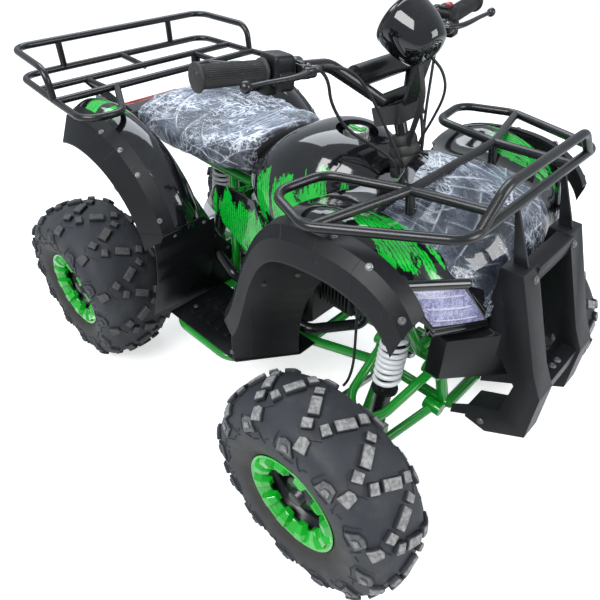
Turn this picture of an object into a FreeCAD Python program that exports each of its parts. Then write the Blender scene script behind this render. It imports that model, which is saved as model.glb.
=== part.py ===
import FreeCAD, Part
import math
import os

Vector = FreeCAD.Vector

# Quad bike, millimetres: X forward, Y left, Z up from the ground, origin under the middle
# Overall layout
wheelBase = 930.0
frontOverhang = 275.0
rearOverhang = 243.0
frontTrack = 778.0
rearTrack = 662.0
frontTyreDiameter = 482.0
frontTyreWidth = 166.0
rearTyreDiameter = 480.0
rearTyreWidth = 212.0
rimDiameter = 206.0
frontAxleX = (frontOverhang + wheelBase + rearOverhang) / 2 - frontOverhang
rearAxleX = frontAxleX - wheelBase
tailX = rearAxleX - rearOverhang
frontAxleZ = frontTyreDiameter / 2
rearAxleZ = rearTyreDiameter / 2
frontWheelY = frontTrack / 2
rearWheelY = rearTrack / 2
frontHub = Vector(frontAxleX, 0, frontAxleZ)
rearHub = Vector(rearAxleX, 0, rearAxleZ)

# Clearances and walls
seatGap = 0.3
runningGap = 0.5
overrun = 5.0
shellWall = 4.0
plateWall = 5.0

# Tyres and rims
lugHeight = 11.0
lugRoot = 10.0
lugLength = 26.0
lugWidthShare = 0.27
lugCentreShare = 0.26
lugSlant = 28.0
lugCentreLean = 4.0
lugShoulderLean = 48.0
lugCount = 12
tyreSteps = 18
tyreSectionShares = [
    (0.78, 0.09), (0.95, 0.20), (1.00, 0.45), (0.95, 0.70), (0.78, 0.89), (0.45, 0.98), (0.00, 1.00),
]
rimLip = 9.0
rimWall = 4.0
rimWebDepth = 55.0
rimWebWall = 8.0
rimRingDepth = 18.0
rimRingWall = 8.0
rimLobeSides = 6
rimLobeRadius = 13.0
rimLobeHeight = 12.0
rimLobeCount = 12
hubRadius = 40.0
hubLength = 46.0

# Steering column, its plates and the tie rods
steerRake = 20.0
steerLimit = 35.0
clampAheadOfAxle = -170.0
clampZ = 865.0
columnRadius = 12.0
pitmanReach = 75.0
pitmanSpread = 16.0
pitmanWall = 8.0
studRadius = 5.0
tieRodRadius = 7.0
tieRodEyeRadius = 11.0
tieRodEyeHeight = tieRodRadius * 2
tieRodAboveAxle = 71.0
tieRodZ = frontAxleZ + tieRodAboveAxle
columnFootRise = 39.0
columnFootZ = tieRodZ + columnFootRise

# Knuckles
kingpinY = 268.0
kingpinRadius = 14.0
kingpinBelowAxle = 43.0
kingpinAboveAxle = 89.0
kingpinLowZ = frontAxleZ - kingpinBelowAxle
kingpinHighZ = frontAxleZ + kingpinAboveAxle
spindleRadius = 14.0
spindleBossRadius = 24.0
brakeDrumRadius = 62.0
brakeDrumWidth = 34.0
drumSpacing = 3.0

# Main tube sizes
frameTube = 12.5
braceTube = 9.0
armTube = 10.0
rackTube = 8.5
innerRackTube = 8.0
barTube = 11.0
nerfTube = 11.0
bendShare = 0.45

# Chassis frame: places ahead of the front axle, heights from the ground
armPivotY = 60.0
lowerPivotZ = 280.0
upperPivotZ = 380.0
lowerPivotAhead = 76.0
upperPivotAhead = 57.0
armPivotBehind = 70.0
railY = 85.0
railZ = 230.0
railRearX = -146.0
railBendX = 149.0
railRiseX = 329.0
railRiseZ = 268.0
railFrontAhead = 95.0
backboneY = 60.0
backboneFrontX = 236.0
backboneFrontZ = 590.0
backboneMidX = -216.0
backboneMidZ = 600.0
backboneRearX = -536.0
backboneRearZ = 640.0
backboneRearY = 80.0
towerAhead = 5.0
towerY = 150.0
towerZ = 530.0
towerEnd = 178.0
noseTubeAhead = 135.0
noseTubeZ = 560.0
swingPivotZ = 300.0
forkPivotRadius = 18.0
swingPivotBack = frameTube + forkPivotRadius + seatGap
columnBracketZ = 735.0
columnBracketY = 34.0
frameBend = 70.0
seatRestRearX = -386.0
seatRestFrontX = -60.0
tankRestX = 130.0
nerfOuterY = 284.0
nerfRearX = -186.0
nerfFrontX = 64.0
nerfInnerX = 149.0
footTop = 250.0
boardWall = 4.0
nerfZ = footTop - boardWall - seatGap - nerfTube
collarHeight = 30.0
collarRadius = 22.0
collarAboveFoot = 45.0
lowerCollarZ = columnFootZ + collarAboveFoot

# Front suspension, its ball joints on the kingpin axis
ballHousingRadius = 16.0
ballHousingHeight = 32.0
armEyeRadius = 15.0
armEyeLength = 40.0
lowerBallZ = kingpinLowZ
upperBallZ = kingpinHighZ
springSeatRadius = 28.0
springRadius = 23.0
springWire = 5.5
springTurns = 7
springSteps = 10
damperRadius = 13.0
damperBodyRadius = 18.0
shockTopY = 165.0
shockFootY = 196.0
shockFootRise = 64.0
shockFootZ = lowerBallZ + shockFootRise
shockEyeRadius = 13.0
shockEyeLength = 22.0
springTopShare = 0.90
springFootShare = 0.42
shockPadWall = 8.0
upperWaistShare = 0.16
upperBendOut = 0.66
lowerWaistShare = 0.22
lowerBendOut = 0.35
padReach = 31.0

# Knuckle with its stub axle, brake drum and steering arm
steeringArmWall = 10.0
steeringArmWidth = 22.0
spindleNutLength = 14.0
pinBoreGap = 0.5
openPinGap = 5.0
openEyeWall = 4.5

# Steering column with the handlebar clamp above and the pitman plate below
clampLength = 60.0
clampWidth = 78.0
clampHeight = 34.0
pitmanRadius = 20.0

# Handlebar: half the bar from its middle out to the grip, with the places behind the clamp
barCentreHalf = 42.0
riserTopY = 128.0
riserTopBack = 55.0
riserTopUp = 68.0
gripInnerY = 262.0
gripEndY = 385.0
gripBack = 82.0
gripUp = 96.0
barBend = 45.0
gripRadius = 16.5
gripFlange = 21.0
gripFlangeWall = 4.0
crossBarShare = 0.62
crossPadRadius = 20.0
crossPadShare = 0.86
gripGap = 0.2

# Front arch in side view: shares of its length behind the lamp and of its height over the footboard
frontArchBehind = 371.0
frontArchLength = 489.0
frontArchFootZ = footTop + seatGap
frontArchTopZ = 762.0
frontArchHeight = frontArchTopZ - frontArchFootZ
frontArchShares = [
    (0.000, 0.000), (0.012, 0.234), (0.053, 0.392), (0.168, 0.621), (0.258, 0.812), (0.389, 0.953),
    (0.536, 0.992), (0.720, 1.000), (0.894, 0.955), (1.000, 0.859),
]
frontPanelCount = 5
frontFlareFirst = 2
flareInnerY = 288.0
flareRidgeY = 316.0
flareShoulderY = 334.0
flareLipY = 342.0
flareRidgeDrop = 5.0
flareShoulderDrop = 24.0
flareLipDrop = 60.0
panelOuterY = flareInnerY
panelInnerY = 155.0
panelTopDrop = 46.0
panelInnerAhead = 96.0

# Rear arch in side view
rearArchLength = 374.0
rearArchRear = -12.0
rearArchFootZ = 520.0
rearArchHeight = 222.0
rearArchShares = [
    (0.00, 0.965), (0.22, 1.000), (0.45, 0.940), (0.62, 0.830), (0.79, 0.630), (0.90, 0.420),
    (0.975, 0.190), (1.00, 0.000),
]
rearFlareInnerY = 270.0
rearFlareRidgeY = 300.0
rearFlareLipY = 328.0
rearFlareRidgeDrop = 14.0
rearFlareLipDrop = 74.0
rearPanelShares = [(1.00, 0.00), (0.965, -0.42), (0.885, -0.85), (0.800, -1.214)]
flareWall = 4.0
panelDrop = 12.0

# Front body: stations ahead of the axle, with half width, edge, ridge, valley and hood heights
hoodEdgeZ = 690.0
hoodRise = 70.0
hoodStationShares = [
    (0.90, 0.35, 0.42, 0.74), (0.98, 0.68, 0.62, 0.94), (0.988, 0.86, 0.72, 1.03), (0.988, 0.94, 0.72, 1.03),
    (0.98, 0.60, 0.48, 0.84), (0.90, 0.10, 0.12, 0.55), (0.78, -0.02, -0.06, 0.27), (0.56, -0.55, -0.40, -0.13),
]
hoodNoseShares = [(1.0245, -0.34), (1.047, -1.10)]
hoodHalfWidth = flareInnerY
hoodEdgeShare = 1.0
hoodRidgeShare = 0.90
hoodValleyShare = 0.62
hoodShoulderShare = 0.42
hoodCrownShare = 0.20
cowlHoleRadius = 70.0
notchGap = 2.0

# Headlight: outer and inner corners of its face, set back along the sides of the nose
lampOuterAhead = 66.0
lampInnerAhead = 118.0
lampFootOuterAhead = 112.0
lampFootInnerAhead = 148.0
lampOuterY = 280.0
lampInnerY = 172.0
lampFootOuterY = 246.0
lampFootInnerY = 118.0
lampTopZ = 706.0
lampInnerTopZ = 680.0
lampFootZ = 632.0
lampInnerFootZ = 592.0
lampDepth = 60.0
lampStation = 4

# Seat: stations from the back forwards, with half width, underside and top heights
seatRearX = -446.0
seatLength = 452.0
seatHalfWidth = 172.0
seatFootZ = 648.0
seatThickness = 92.0
seatStationShares = [
    (0.00, 0.78, 0.00, 0.80), (0.12, 0.92, 0.00, 1.00), (0.45, 1.00, 0.00, 0.93), (0.80, 0.92, 0.00, 0.92),
    (1.00, 0.66, 0.00, 1.04),
]
seatSideShare = 1.0
seatShoulderShare = 0.84
seatRoundShare = 0.12

# Tank cover: stations behind the front axle with half width, side foot and top height
tankFrontBehind = 160.0
tankLength = frontAxleX - tankFrontBehind - (seatRearX + seatLength) - seatGap
tankHalfWidth = 150.0
tankFootZ = 560.0
tankHeight = 232.0
tankSectionShares = [
    (0.00, 0.50, 0.55, 0.80), (0.22, 0.82, 0.25, 0.96), (0.50, 1.00, 0.05, 1.00), (0.78, 1.00, 0.10, 0.90),
    (1.00, 0.86, 0.30, 0.70),
]
tankShoulderShare = 0.62
tankBulgeShare = 0.94
tankCrownShare = 0.55
tankCrownDropShare = 0.18
capBehind = 258.0
capWellRadius = 44.0
capWellDepth = 26.0
capRadius = 30.0
capHeight = 24.0
capNeckHeight = 4.0
tankTunnelHalf = 80.0
tankTunnelTop = 626.0

# Side panel under the seat and tank
sidePanelY = 168.0
sidePanelRearX = -140.0
sidePanelLength = 205.0
sidePanelFootZ = 452.0
sidePanelHeight = 186.0
sidePanelShares = [
    (0.00, 0.58), (0.26, 0.93), (0.55, 1.00), (0.93, 0.97), (1.00, 0.62), (0.80, 0.02), (0.70, 0.00),
    (0.34, 0.30),
]
sidePanelLean = 20.0
bossRadius = 7.0
bossShares = [0.35, 0.80]

# Rear body: two fenders and a deck behind the seat
rearBodyInnerY = 178.0
deckRearX = -566.0
deckWall = 22.0
rearCrown = 10.0
rearInnerDrop = 26.0

# Tail lamp under the rear rack
tailLampWidth = 190.0
tailLampHeight = 46.0
tailLampDepth = 26.0

# Footboard with raised cleats and edge blocks
boardRearGap = 4.0
boardRearX = rearAxleX + rearArchRear + rearArchLength * rearPanelShares[-1][0] + boardRearGap
boardInnerY = 100.0
boardOuterY = 286.0
cleatLength = 14.0
cleatWidth = 40.0
cleatHeight = 5.0
cleatPitch = 36.0
cleatRows = 6

# Racks: half outlines behind the front axle or behind the rear one, from the middle outwards
frontRackZ = 778.0
frontRackFrontZ = 796.0
frontHoopZ = 850.0
frontRackFrontAhead = 130.0
frontRackBend = 42.0
frontRackOuter = 338.0
frontRackSideAhead = -86.0
frontRackRearAhead = -188.0
frontRackRearY = 296.0
frontRackInnerY = 184.0
frontRackInnerAhead = -182.0
frontRackCrossAhead = -28.0
frontRackCrossY = 140.0
frontRackCrossZ = 786.0
frontCornerY = 226.0
frontHoopY = 196.0
frontHoopTopY = 140.0
rearRackZ = 757.0
rearRackBackZ = 765.0
rearHoopZ = 836.0
rearRackHalf = 318.0
rearRackBackHalf = 300.0
crossBarBehind = 10.0
crossBarPitch = 100.0
wingAhead = 152.0
wingFrontAhead = 168.0
wingSideY = 332.0
wingInnerY = 240.0
wingRootY = 150.0
rearRackBend = 45.0
rackBracketY = 178.0
rackBracketWidth = 30.0
rackBracketWall = 5.0
bracketForward = 70.0
bracketFootY = 120.0

# Bumper: side profile ahead of the front axle, as shares of its reach and height
bumperBackAhead = noseTubeAhead + braceTube + seatGap
bumperFootZ = 330.0
bumperHeight = 372.0
bumperColumnShares = [
    (0.00, 1.00), (0.30, 1.00), (0.82, 0.52), (1.00, 0.40), (1.00, 0.12), (0.45, 0.00), (0.10, 0.02),
    (0.10, 0.12), (0.55, 0.20), (0.62, 0.40), (0.35, 0.52), (0.00, 0.55),
]
bumperColumnY = 62.0
bumperColumnWall = 52.0
wingRootZ = 470.0
wingHeight = 105.0
wingOuterY = 190.0
wingTipAhead = 118.0
wingRootAhead = 215.0
wingDepth = 62.0
bracketPlateY = bumperColumnY
bracketPlateRise = 40.0
bumperCrossShares = [(0.12, 0.90), (0.72, 0.30), (0.50, 0.03)]
bumperCrossDepth = 30.0
bumperCrossHeight = 34.0
wingTipShare = 0.9

# Engine: crankcase profile, finned cylinder leaning forwards, side covers
engineRearX = -112.0
engineLength = 262.0
engineRestTube = 12.0
engineFootZ = railZ + engineRestTube + seatGap
engineRestX = 60.0
engineHeight = 190.0
engineHalf = 78.0
engineShares = [
    (0.00, 0.30), (0.12, 0.00), (0.75, 0.00), (1.00, 0.25), (1.00, 0.80), (0.62, 1.00), (0.15, 0.90),
]
coverRadius = 64.0
coverWall = 22.0
coverAlongShares = [0.30, 0.68]
cylinderZ = 388.0
cylinderStartX = 140.0
finCount = 9
finPitch = 11.0
finWall = 4.0
finHalf = 52.0
finCornerShare = 0.7
coreHalf = 34.0
headLength = 40.0

# Exhaust: header from under the cylinder head, back along the right side to the silencer
exhaustRadius = 14.0
exhaustBend = 45.0
silencerRadius = 42.0
silencerLength = 250.0
outletLength = 45.0
pipeWall = 2.0
silencerY = 140.0
silencerZ = 452.0
silencerFrontX = -330.0
exhaustHeadX = cylinderStartX + finPitch * finCount + finWall + exhaustRadius + seatGap
pipeDrop = 88.0
pipeSideY = 118.0
pipeLowZ = 330.0
pipeRiseX = -215.0

# Rear fork, its damper and the live axle
forkY = 56.0
forkTubeRadius = 15.0
axleHousingRadius = 30.0
axleHousingHalf = 80.0
axleRadius = 15.0
rearShockTopX = -262.0
rearShockTopZ = 575.0
rearShockFootX = -316.0
rearShockFootZ = 330.0
rearShockScale = 1.0
sprocketY = 118.0
sprocketRadius = 82.0
sprocketWall = 7.0
discRadius = 80.0
discWall = 4.0
flangeRadius = 40.0
flangeWall = 10.0

# Instrument housing: distances along its axis with radii, from the dial forwards
podBehind = 187.0
podZ = 1006.0
podTilt = 30.0
podRings = [(0.0, 44.0), (4.0, 48.0), (16.0, 50.0), (50.0, 48.0), (74.0, 41.0), (88.0, 32.0)]
podPlateWall = 8.0
podPlateHalf = 21.0

# Hand controls: switch block, lever mount and lever on each side of the bar
switchLength = 44.0
switchRadius = 22.0
leverReach = 58.0
leverRadius = 5.5
leverBall = 9.0
mountLength = 26.0


def mirrored(shape):
    return shape.mirror(Vector(), Vector(0, 1, 0))


def bothSides(shape):
    return Part.makeCompound([shape, mirrored(shape)])


def rod(start, end, radius):
    return Part.makeCylinder(radius, (end - start).Length, start, end - start)


def prism(points, sweep):
    return Part.Face(Part.makePolygon(points + points[:1])).extrude(sweep)


# Straight runs joined by tangent arcs
def roundedPath(points, bendRadius):
    edges = []
    start = points[0]
    for before, corner, after in zip(points, points[1:], points[2:]):
        incoming = (corner - before).normalize()
        outgoing = (after - corner).normalize()
        halfTurn = incoming.getAngle(outgoing) / 2
        radius = min(bendRadius, bendShare * min((corner - before).Length, (after - corner).Length)
                     / math.tan(halfTurn))
        setback = radius * math.tan(halfTurn)
        inside = (outgoing - incoming).normalize()
        entry = corner - incoming * setback
        leave = corner + outgoing * setback
        middle = corner + inside * (radius / math.cos(halfTurn) - radius)
        edges.append(Part.LineSegment(start, entry).toShape())
        edges.append(Part.Arc(entry, middle, leave).toShape())
        start = leave
    edges.append(Part.LineSegment(start, points[-1]).toShape())
    return Part.Wire(edges)


def bentTube(points, radius, bendRadius):
    section = Part.Wire([Part.Circle(points[0], points[1] - points[0], radius).toShape()])
    return roundedPath(points, bendRadius).makePipeShell([section], True, False)


def splineEdge(points):
    curve = Part.BSplineCurve()
    curve.interpolate(points)
    return curve.toShape()


# A closed thin band between a smooth line and the same line moved by an offset at each point
def bandWire(outer, inner):
    return Part.Wire([
        splineEdge(outer),
        Part.LineSegment(outer[-1], inner[-1]).toShape(),
        splineEdge(inner[::-1]),
        Part.LineSegment(inner[0], outer[0]).toShape(),
    ])


def towards(point, hub, distance):
    direction = Vector(hub.x - point.x, 0, hub.z - point.z).normalize()
    return point + direction * distance


def archBand(line, hub, y, drop, wall):
    outer = [towards(Vector(x, y, z), hub, drop) for x, z in line]
    inner = [towards(point, hub, wall) for point in outer]
    return bandWire(outer, inner)


def spread(shares, startX, spanX, startZ, spanZ):
    return [(startX + spanX * along, startZ + spanZ * up) for along, up in shares]


# Tyres
# A closed outline in the plane x = 0, turned round the Y axis in flat steps
def turnedInSteps(outline, count):
    turns = [2 * math.pi * step / count for step in range(count)]
    rings = [[Vector(point.z * math.sin(turn), point.y, point.z * math.cos(turn)) for point in outline]
             for turn in turns]
    faces = []
    for ring, following in zip(rings, rings[1:] + rings[:1]):
        for index in range(len(outline)):
            corners = [ring[index - 1], ring[index], following[index], following[index - 1]]
            faces.append(Part.Face(Part.makePolygon(corners + corners[:1])))
    shell = Part.Shell(faces)
    shell.sewShape()
    return Part.Solid(shell)


def tyreCarcass(diameter, width):
    halfWidth = width / 2
    bead = (rimDiameter / 2 + seatGap) / math.cos(math.pi / tyreSteps)
    height = diameter / 2 - lugHeight - bead
    side = [Vector(0, -halfWidth * across, bead + height * up) for across, up in tyreSectionShares]
    otherSide = [Vector(0, -point.y, point.z) for point in side[-2::-1]]
    corners = [Vector(0, side[0].y, bead)] + side + otherSide + [Vector(0, -side[0].y, bead)]
    return turnedInSteps(corners, tyreSteps)


# One tread block standing on the crown, slanted and moved across the tread, then turned round the axle
def lug(diameter, width, acrossShare, slant, lean, angle):
    length = lugLength
    breadth = width * lugWidthShare
    tip = math.sqrt((diameter / 2) ** 2 - (length ** 2 + breadth ** 2) / 4)
    root = diameter / 2 - lugHeight - lugRoot
    block = Part.makeBox(length, breadth, tip - root, Vector(-length / 2, -breadth / 2, root))
    block.rotate(Vector(), Vector(0, 0, 1), slant)
    leanCentre = Vector(0, 0, diameter / 2 - width / 2)
    block.rotate(leanCentre, Vector(1, 0, 0), lean)
    block.translate(Vector(0, width / 2 * acrossShare, 0))
    block.rotate(Vector(), Vector(0, 1, 0), angle)
    return block


def tyre(diameter, width):
    lugs = []
    for index in range(lugCount):
        angle = 360 / lugCount * index
        half = 180 / lugCount
        lugs.append(lug(diameter, width, lugCentreShare, lugSlant, -lugCentreLean, angle))
        lugs.append(lug(diameter, width, -lugCentreShare, -lugSlant, lugCentreLean, angle + half))
        lugs.append(lug(diameter, width, 0, 0, lugShoulderLean, angle))
        lugs.append(lug(diameter, width, 0, 0, -lugShoulderLean, angle + half))
    return tyreCarcass(diameter, width).fuse(lugs)


# Rims, built with the outer face towards -Y
def rim(width, boreRadius):
    beadHalf = width / 2 * tyreSectionShares[0][0]
    outer = rimDiameter / 2
    lip = outer + rimLip
    inside = outer - rimWall
    face = -beadHalf - seatGap - rimWall
    back = -face
    web = face + rimWebDepth
    profile = [
        Vector(0, face, inside - rimRingDepth), Vector(0, face, lip), Vector(0, face + rimWall, lip),
        Vector(0, face + rimWall, outer), Vector(0, back - rimWall, outer), Vector(0, back - rimWall, lip),
        Vector(0, back, lip), Vector(0, back, inside), Vector(0, web + rimWebWall, inside),
        Vector(0, web + rimWebWall, hubRadius), Vector(0, web + hubLength, hubRadius),
        Vector(0, web + hubLength, boreRadius), Vector(0, web, boreRadius), Vector(0, web, inside),
        Vector(0, face + rimRingWall, inside), Vector(0, face + rimRingWall, inside - rimRingDepth),
    ]
    body = Part.Face(Part.makePolygon(profile + profile[:1])).revolve(Vector(), Vector(0, 1, 0), 360)
    lobes = []
    for index in range(rimLobeCount):
        corners = []
        for corner in range(rimLobeSides):
            turn = 2 * math.pi * corner / rimLobeSides
            corners.append(Vector(rimLobeRadius * math.cos(turn), face - rimLobeHeight,
                                  lip - rimLobeRadius + rimLobeRadius * math.sin(turn)))
        lobe = prism(corners, Vector(0, rimLobeHeight + rimWall, 0))
        lobe.rotate(Vector(), Vector(0, 1, 0), 360 / rimLobeCount * index)
        lobes.append(lobe)
    return body.fuse(lobes)


def columnPoint(z):
    return Vector(frontAxleX + clampAheadOfAxle + (clampZ - z) * math.tan(math.radians(steerRake)), 0, z)


def columnDirection():
    rake = math.radians(steerRake)
    return Vector(-math.sin(rake), 0, math.cos(rake))


def frameSide():
    f = frontAxleX
    y = -armPivotY
    lowerRail = bentTube([
        Vector(railRearX, -railY, railZ), Vector(railBendX, -railY, railZ),
        Vector(railRiseX, -armPivotY, railRiseZ),
        Vector(f - armPivotBehind, y, lowerPivotZ), Vector(f + railFrontAhead, y, lowerPivotZ),
    ], frameTube, frameBend)
    upperRail = bentTube([
        Vector(f + upperPivotAhead + frameTube, y, upperPivotZ),
        Vector(f - armPivotBehind, y, upperPivotZ),
        Vector(backboneFrontX, -backboneY, backboneFrontZ),
        Vector(backboneMidX, -backboneY, backboneMidZ),
        Vector(backboneRearX, -backboneRearY, backboneRearZ),
    ], frameTube, frameBend)
    braces = [
        rod(Vector(f - armPivotBehind - frameTube * 2, y, lowerPivotZ),
            Vector(f - armPivotBehind - frameTube * 2, y, upperPivotZ + frameTube * 2), frameTube),
        rod(Vector(f + railFrontAhead - frameTube, y, lowerPivotZ),
            Vector(f + upperPivotAhead, y, upperPivotZ), frameTube),
        rod(Vector(f + upperPivotAhead, y, upperPivotZ), Vector(f + noseTubeAhead, y, noseTubeZ), braceTube),
        rod(Vector(f + towerAhead, y, upperPivotZ), Vector(f + towerAhead, -towerY, towerZ), frameTube),
        rod(Vector(railRearX, -railY, railZ), Vector(railRearX, -backboneY, backboneMidZ), frameTube),
        rod(Vector(railRearX, -backboneY - frameTube, swingPivotZ + frameTube),
            Vector(backboneRearX, -backboneRearY, backboneRearZ), braceTube),
        rod(Vector(f + towerAhead, y, towerZ),
            Vector(columnPoint(columnBracketZ).x, -columnBracketY, columnBracketZ), braceTube),
        rod(Vector(seatRestFrontX, -backboneY, backboneMidZ - overrun),
            Vector(seatRestFrontX, -backboneY, seatFootZ - seatGap - frameTube), frameTube),
    ]
    nerf = bentTube([
        Vector(nerfRearX, -railY + frameTube, nerfZ), Vector(nerfRearX, -nerfOuterY, nerfZ),
        Vector(nerfFrontX, -nerfOuterY, nerfZ), Vector(nerfInnerX, -railY, nerfZ),
    ], nerfTube, frameBend)
    return [lowerRail, upperRail, nerf] + braces


def crossTube(x, halfSpan, z, radius):
    return rod(Vector(x, -halfSpan, z), Vector(x, halfSpan, z), radius)


def columnCollar(z, height, outerRadius):
    middle = columnPoint(z)
    direction = columnDirection()
    start = middle - direction * (height / 2)
    return Part.makeCylinder(outerRadius, height, start, direction)


def columnBore(z, height):
    middle = columnPoint(z)
    direction = columnDirection()
    return Part.makeCylinder(columnRadius + runningGap, height * 2, middle - direction * height, direction)


def frame():
    f = frontAxleX
    sides = frameSide()
    whole = sides + [mirrored(piece) for piece in sides] + [
        crossTube(railRearX, railY, railZ, frameTube),
        crossTube(nerfRearX, railY, nerfZ, nerfTube),
        crossTube(railBendX, railY, railZ, frameTube),
        crossTube(engineRestX, railY, railZ, engineRestTube),
        crossTube(-engineRestX, railY, railZ, engineRestTube),
        crossTube(f + railFrontAhead, armPivotY, lowerPivotZ, frameTube),
        crossTube(f - armPivotBehind, armPivotY, lowerPivotZ, frameTube),
        crossTube(f + towerAhead, towerEnd, towerZ, frameTube),
        crossTube(f + noseTubeAhead, armPivotY, noseTubeZ, braceTube),
        crossTube(backboneRearX, backboneRearY, backboneRearZ, frameTube),
        crossTube(backboneMidX, backboneY, backboneMidZ, frameTube),
        crossTube(seatRestRearX, backboneRearY, seatFootZ - seatGap - frameTube, frameTube),
        crossTube(seatRestFrontX, backboneY, seatFootZ - seatGap - frameTube, frameTube),
        crossTube(tankRestX, backboneY, tankTunnelTop - seatGap - frameTube, frameTube),
        crossTube(columnPoint(lowerCollarZ).x, armPivotY, lowerCollarZ - frameTube, frameTube),
        crossTube(columnPoint(columnBracketZ).x, columnBracketY, columnBracketZ, braceTube),
        columnCollar(lowerCollarZ, collarHeight, collarRadius),
        columnCollar(columnBracketZ, collarHeight, collarRadius),
    ]
    joined = whole[0].fuse(whole[1:])
    for z in (lowerCollarZ, columnBracketZ):
        joined = joined.cut(columnBore(z, collarHeight))
    return joined


def save(name, shape):
    shape.exportStep("parts/" + name + ".step")
    print(name, len(shape.Solids), "solids", round(shape.Volume / 1000), "cm3", shape.isValid())


def eyeAlongX(centre, radius, length):
    return Part.makeCylinder(radius, length, centre - Vector(length / 2, 0, 0), Vector(1, 0, 0))


def armPair(pivotZ, pivotAhead, ballZ, outerY, waistShare, bendOut):
    f = frontAxleX
    gap = frameTube + seatGap
    ball = Vector(f, -outerY, ballZ)
    legs = []
    for x in (f + pivotAhead, f - armPivotBehind):
        inner = Vector(x, -armPivotY - gap - armEyeRadius, pivotZ)
        legs.append(eyeAlongX(inner, armEyeRadius, armEyeLength))
        waist = Vector(f + (x - f) * bendOut, -outerY + (outerY - armPivotY) * waistShare,
                       ballZ + (pivotZ - ballZ) * waistShare)
        legs.append(bentTube([inner, waist, ball], armTube, frameBend))
    below = ball - Vector(0, 0, ballHousingHeight / 2)
    legs.append(Part.makeCylinder(ballHousingRadius, ballHousingHeight, below))
    return legs[0].fuse(legs[1:])


def upperArm():
    return armPair(upperPivotZ, upperPivotAhead, upperBallZ, kingpinY,
                   upperWaistShare, upperBendOut)


def shockPad():
    foot = Vector(frontAxleX + towerAhead, -shockFootY, shockFootZ)
    below = foot - Vector(0, 0, shockEyeRadius + seatGap + shockPadWall)
    slope = (lowerPivotZ - lowerBallZ) / (kingpinY - armPivotY)
    depth = below.z - (lowerBallZ + slope * (kingpinY - shockFootY))
    return Part.makeBox(armEyeLength, armEyeLength, depth + armTube,
                        below - Vector(armEyeLength / 2, armEyeLength / 2, depth + armTube - shockPadWall))


def lowerArm():
    arm = armPair(lowerPivotZ, lowerPivotAhead, lowerBallZ, kingpinY,
                  lowerWaistShare, lowerBendOut)
    crossLegs = rod(Vector(frontAxleX - padReach, -shockFootY, shockPadZ()),
                    Vector(frontAxleX + padReach, -shockFootY, shockPadZ()), armTube)
    return arm.fuse([crossLegs, shockPad()])


def shockPadZ():
    slope = (lowerPivotZ - lowerBallZ) / (kingpinY - armPivotY)
    return lowerBallZ + slope * (kingpinY - shockFootY)


# A damper between two points: rod above, body below, an eye at each end, two spring seats
def damper(top, foot, eyeLength, scale):
    axis = (foot - top)
    direction = Vector(axis.x, axis.y, axis.z).normalize()
    upperSeat = foot - axis * springTopShare
    lowerSeat = foot - axis * springFootShare
    pieces = [
        eyeAlongX(top, shockEyeRadius * scale, eyeLength),
        eyeAlongX(foot, shockEyeRadius * scale, eyeLength),
        rod(top, lowerSeat, damperRadius * scale),
        rod(lowerSeat, foot, damperBodyRadius * scale),
        rod(upperSeat - direction * springWire, upperSeat, springSeatRadius * scale),
        rod(lowerSeat, lowerSeat + direction * springWire, springSeatRadius * scale),
    ]
    return pieces[0].fuse(pieces[1:])


# A coil of square wire in straight steps between the two spring seats
def coil(top, foot, radius, wire, turns):
    axis = foot - top
    direction = Vector(axis.x, axis.y, axis.z).normalize()
    start = foot - axis * springTopShare + direction * (wire / 2 + seatGap * 3)
    end = foot - axis * springFootShare - direction * (wire / 2 + seatGap * 3)
    side = direction.cross(Vector(1, 0, 0)).normalize()
    other = direction.cross(side)
    steps = int(turns * springSteps)
    points = []
    for step in range(steps + 1):
        turn = 2 * math.pi * step / springSteps
        points.append(start + (end - start) * (step / steps)
                      + side * (radius * math.cos(turn)) + other * (radius * math.sin(turn)))
    half = wire / 2
    radial = (points[0] - start).normalize()
    corners = [points[0] + radial * a + direction * b
               for a, b in ((-half, -half), (half, -half), (half, half), (-half, half))]
    section = Part.makePolygon(corners + corners[:1])
    return Part.makePolygon(points).makePipeShell([section], True, True, 1)


def frontShockEnds():
    x = frontAxleX + towerAhead
    top = Vector(x, -shockTopY, towerZ - frameTube - shockEyeRadius - seatGap)
    return top, Vector(x, -shockFootY, shockFootZ)


def knuckle():
    f = frontAxleX
    lowZ = kingpinLowZ + ballHousingHeight / 2 + runningGap
    highZ = kingpinHighZ - ballHousingHeight / 2 - runningGap
    post = Part.makeCylinder(kingpinRadius, highZ - lowZ, Vector(f, -kingpinY, lowZ))
    hubFace = frontWheelY + frontTyreWidth / 2 * tyreSectionShares[0][0] + rimWall - rimWebDepth
    spindle = rod(Vector(f, -kingpinY, frontAxleZ), Vector(f, -hubFace - spindleNutLength, frontAxleZ),
                  spindleRadius)
    nutFace = Vector(f, -hubFace - runningGap, frontAxleZ)
    nut = rod(nutFace, nutFace - Vector(0, spindleNutLength, 0), spindleRadius + spindleNutLength / 2)
    drumStart = kingpinY + kingpinRadius + drumSpacing
    drum = rod(Vector(f, -drumStart, frontAxleZ), Vector(f, -drumStart - brakeDrumWidth, frontAxleZ),
               brakeDrumRadius)
    boss = rod(Vector(f, -kingpinY, frontAxleZ), Vector(f, -drumStart, frontAxleZ), spindleBossRadius)
    pin = tieRodPin()
    armZ = tieRodZ - tieRodEyeHeight / 2 - runningGap - steeringArmWall
    arm = prism([
        Vector(f, -kingpinY + steeringArmWidth, armZ), Vector(pin.x, pin.y + tieRodEyeRadius, armZ),
        Vector(pin.x - tieRodEyeRadius, pin.y, armZ), Vector(pin.x, pin.y - tieRodEyeRadius, armZ),
        Vector(f, -kingpinY - kingpinRadius, armZ),
    ], Vector(0, 0, steeringArmWall))
    stud = Part.makeCylinder(studRadius, steeringArmWall + tieRodEyeHeight + runningGap * 2,
                             Vector(pin.x, pin.y, armZ))
    return post.fuse([spindle, nut, drum, boss, arm, stud])


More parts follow.
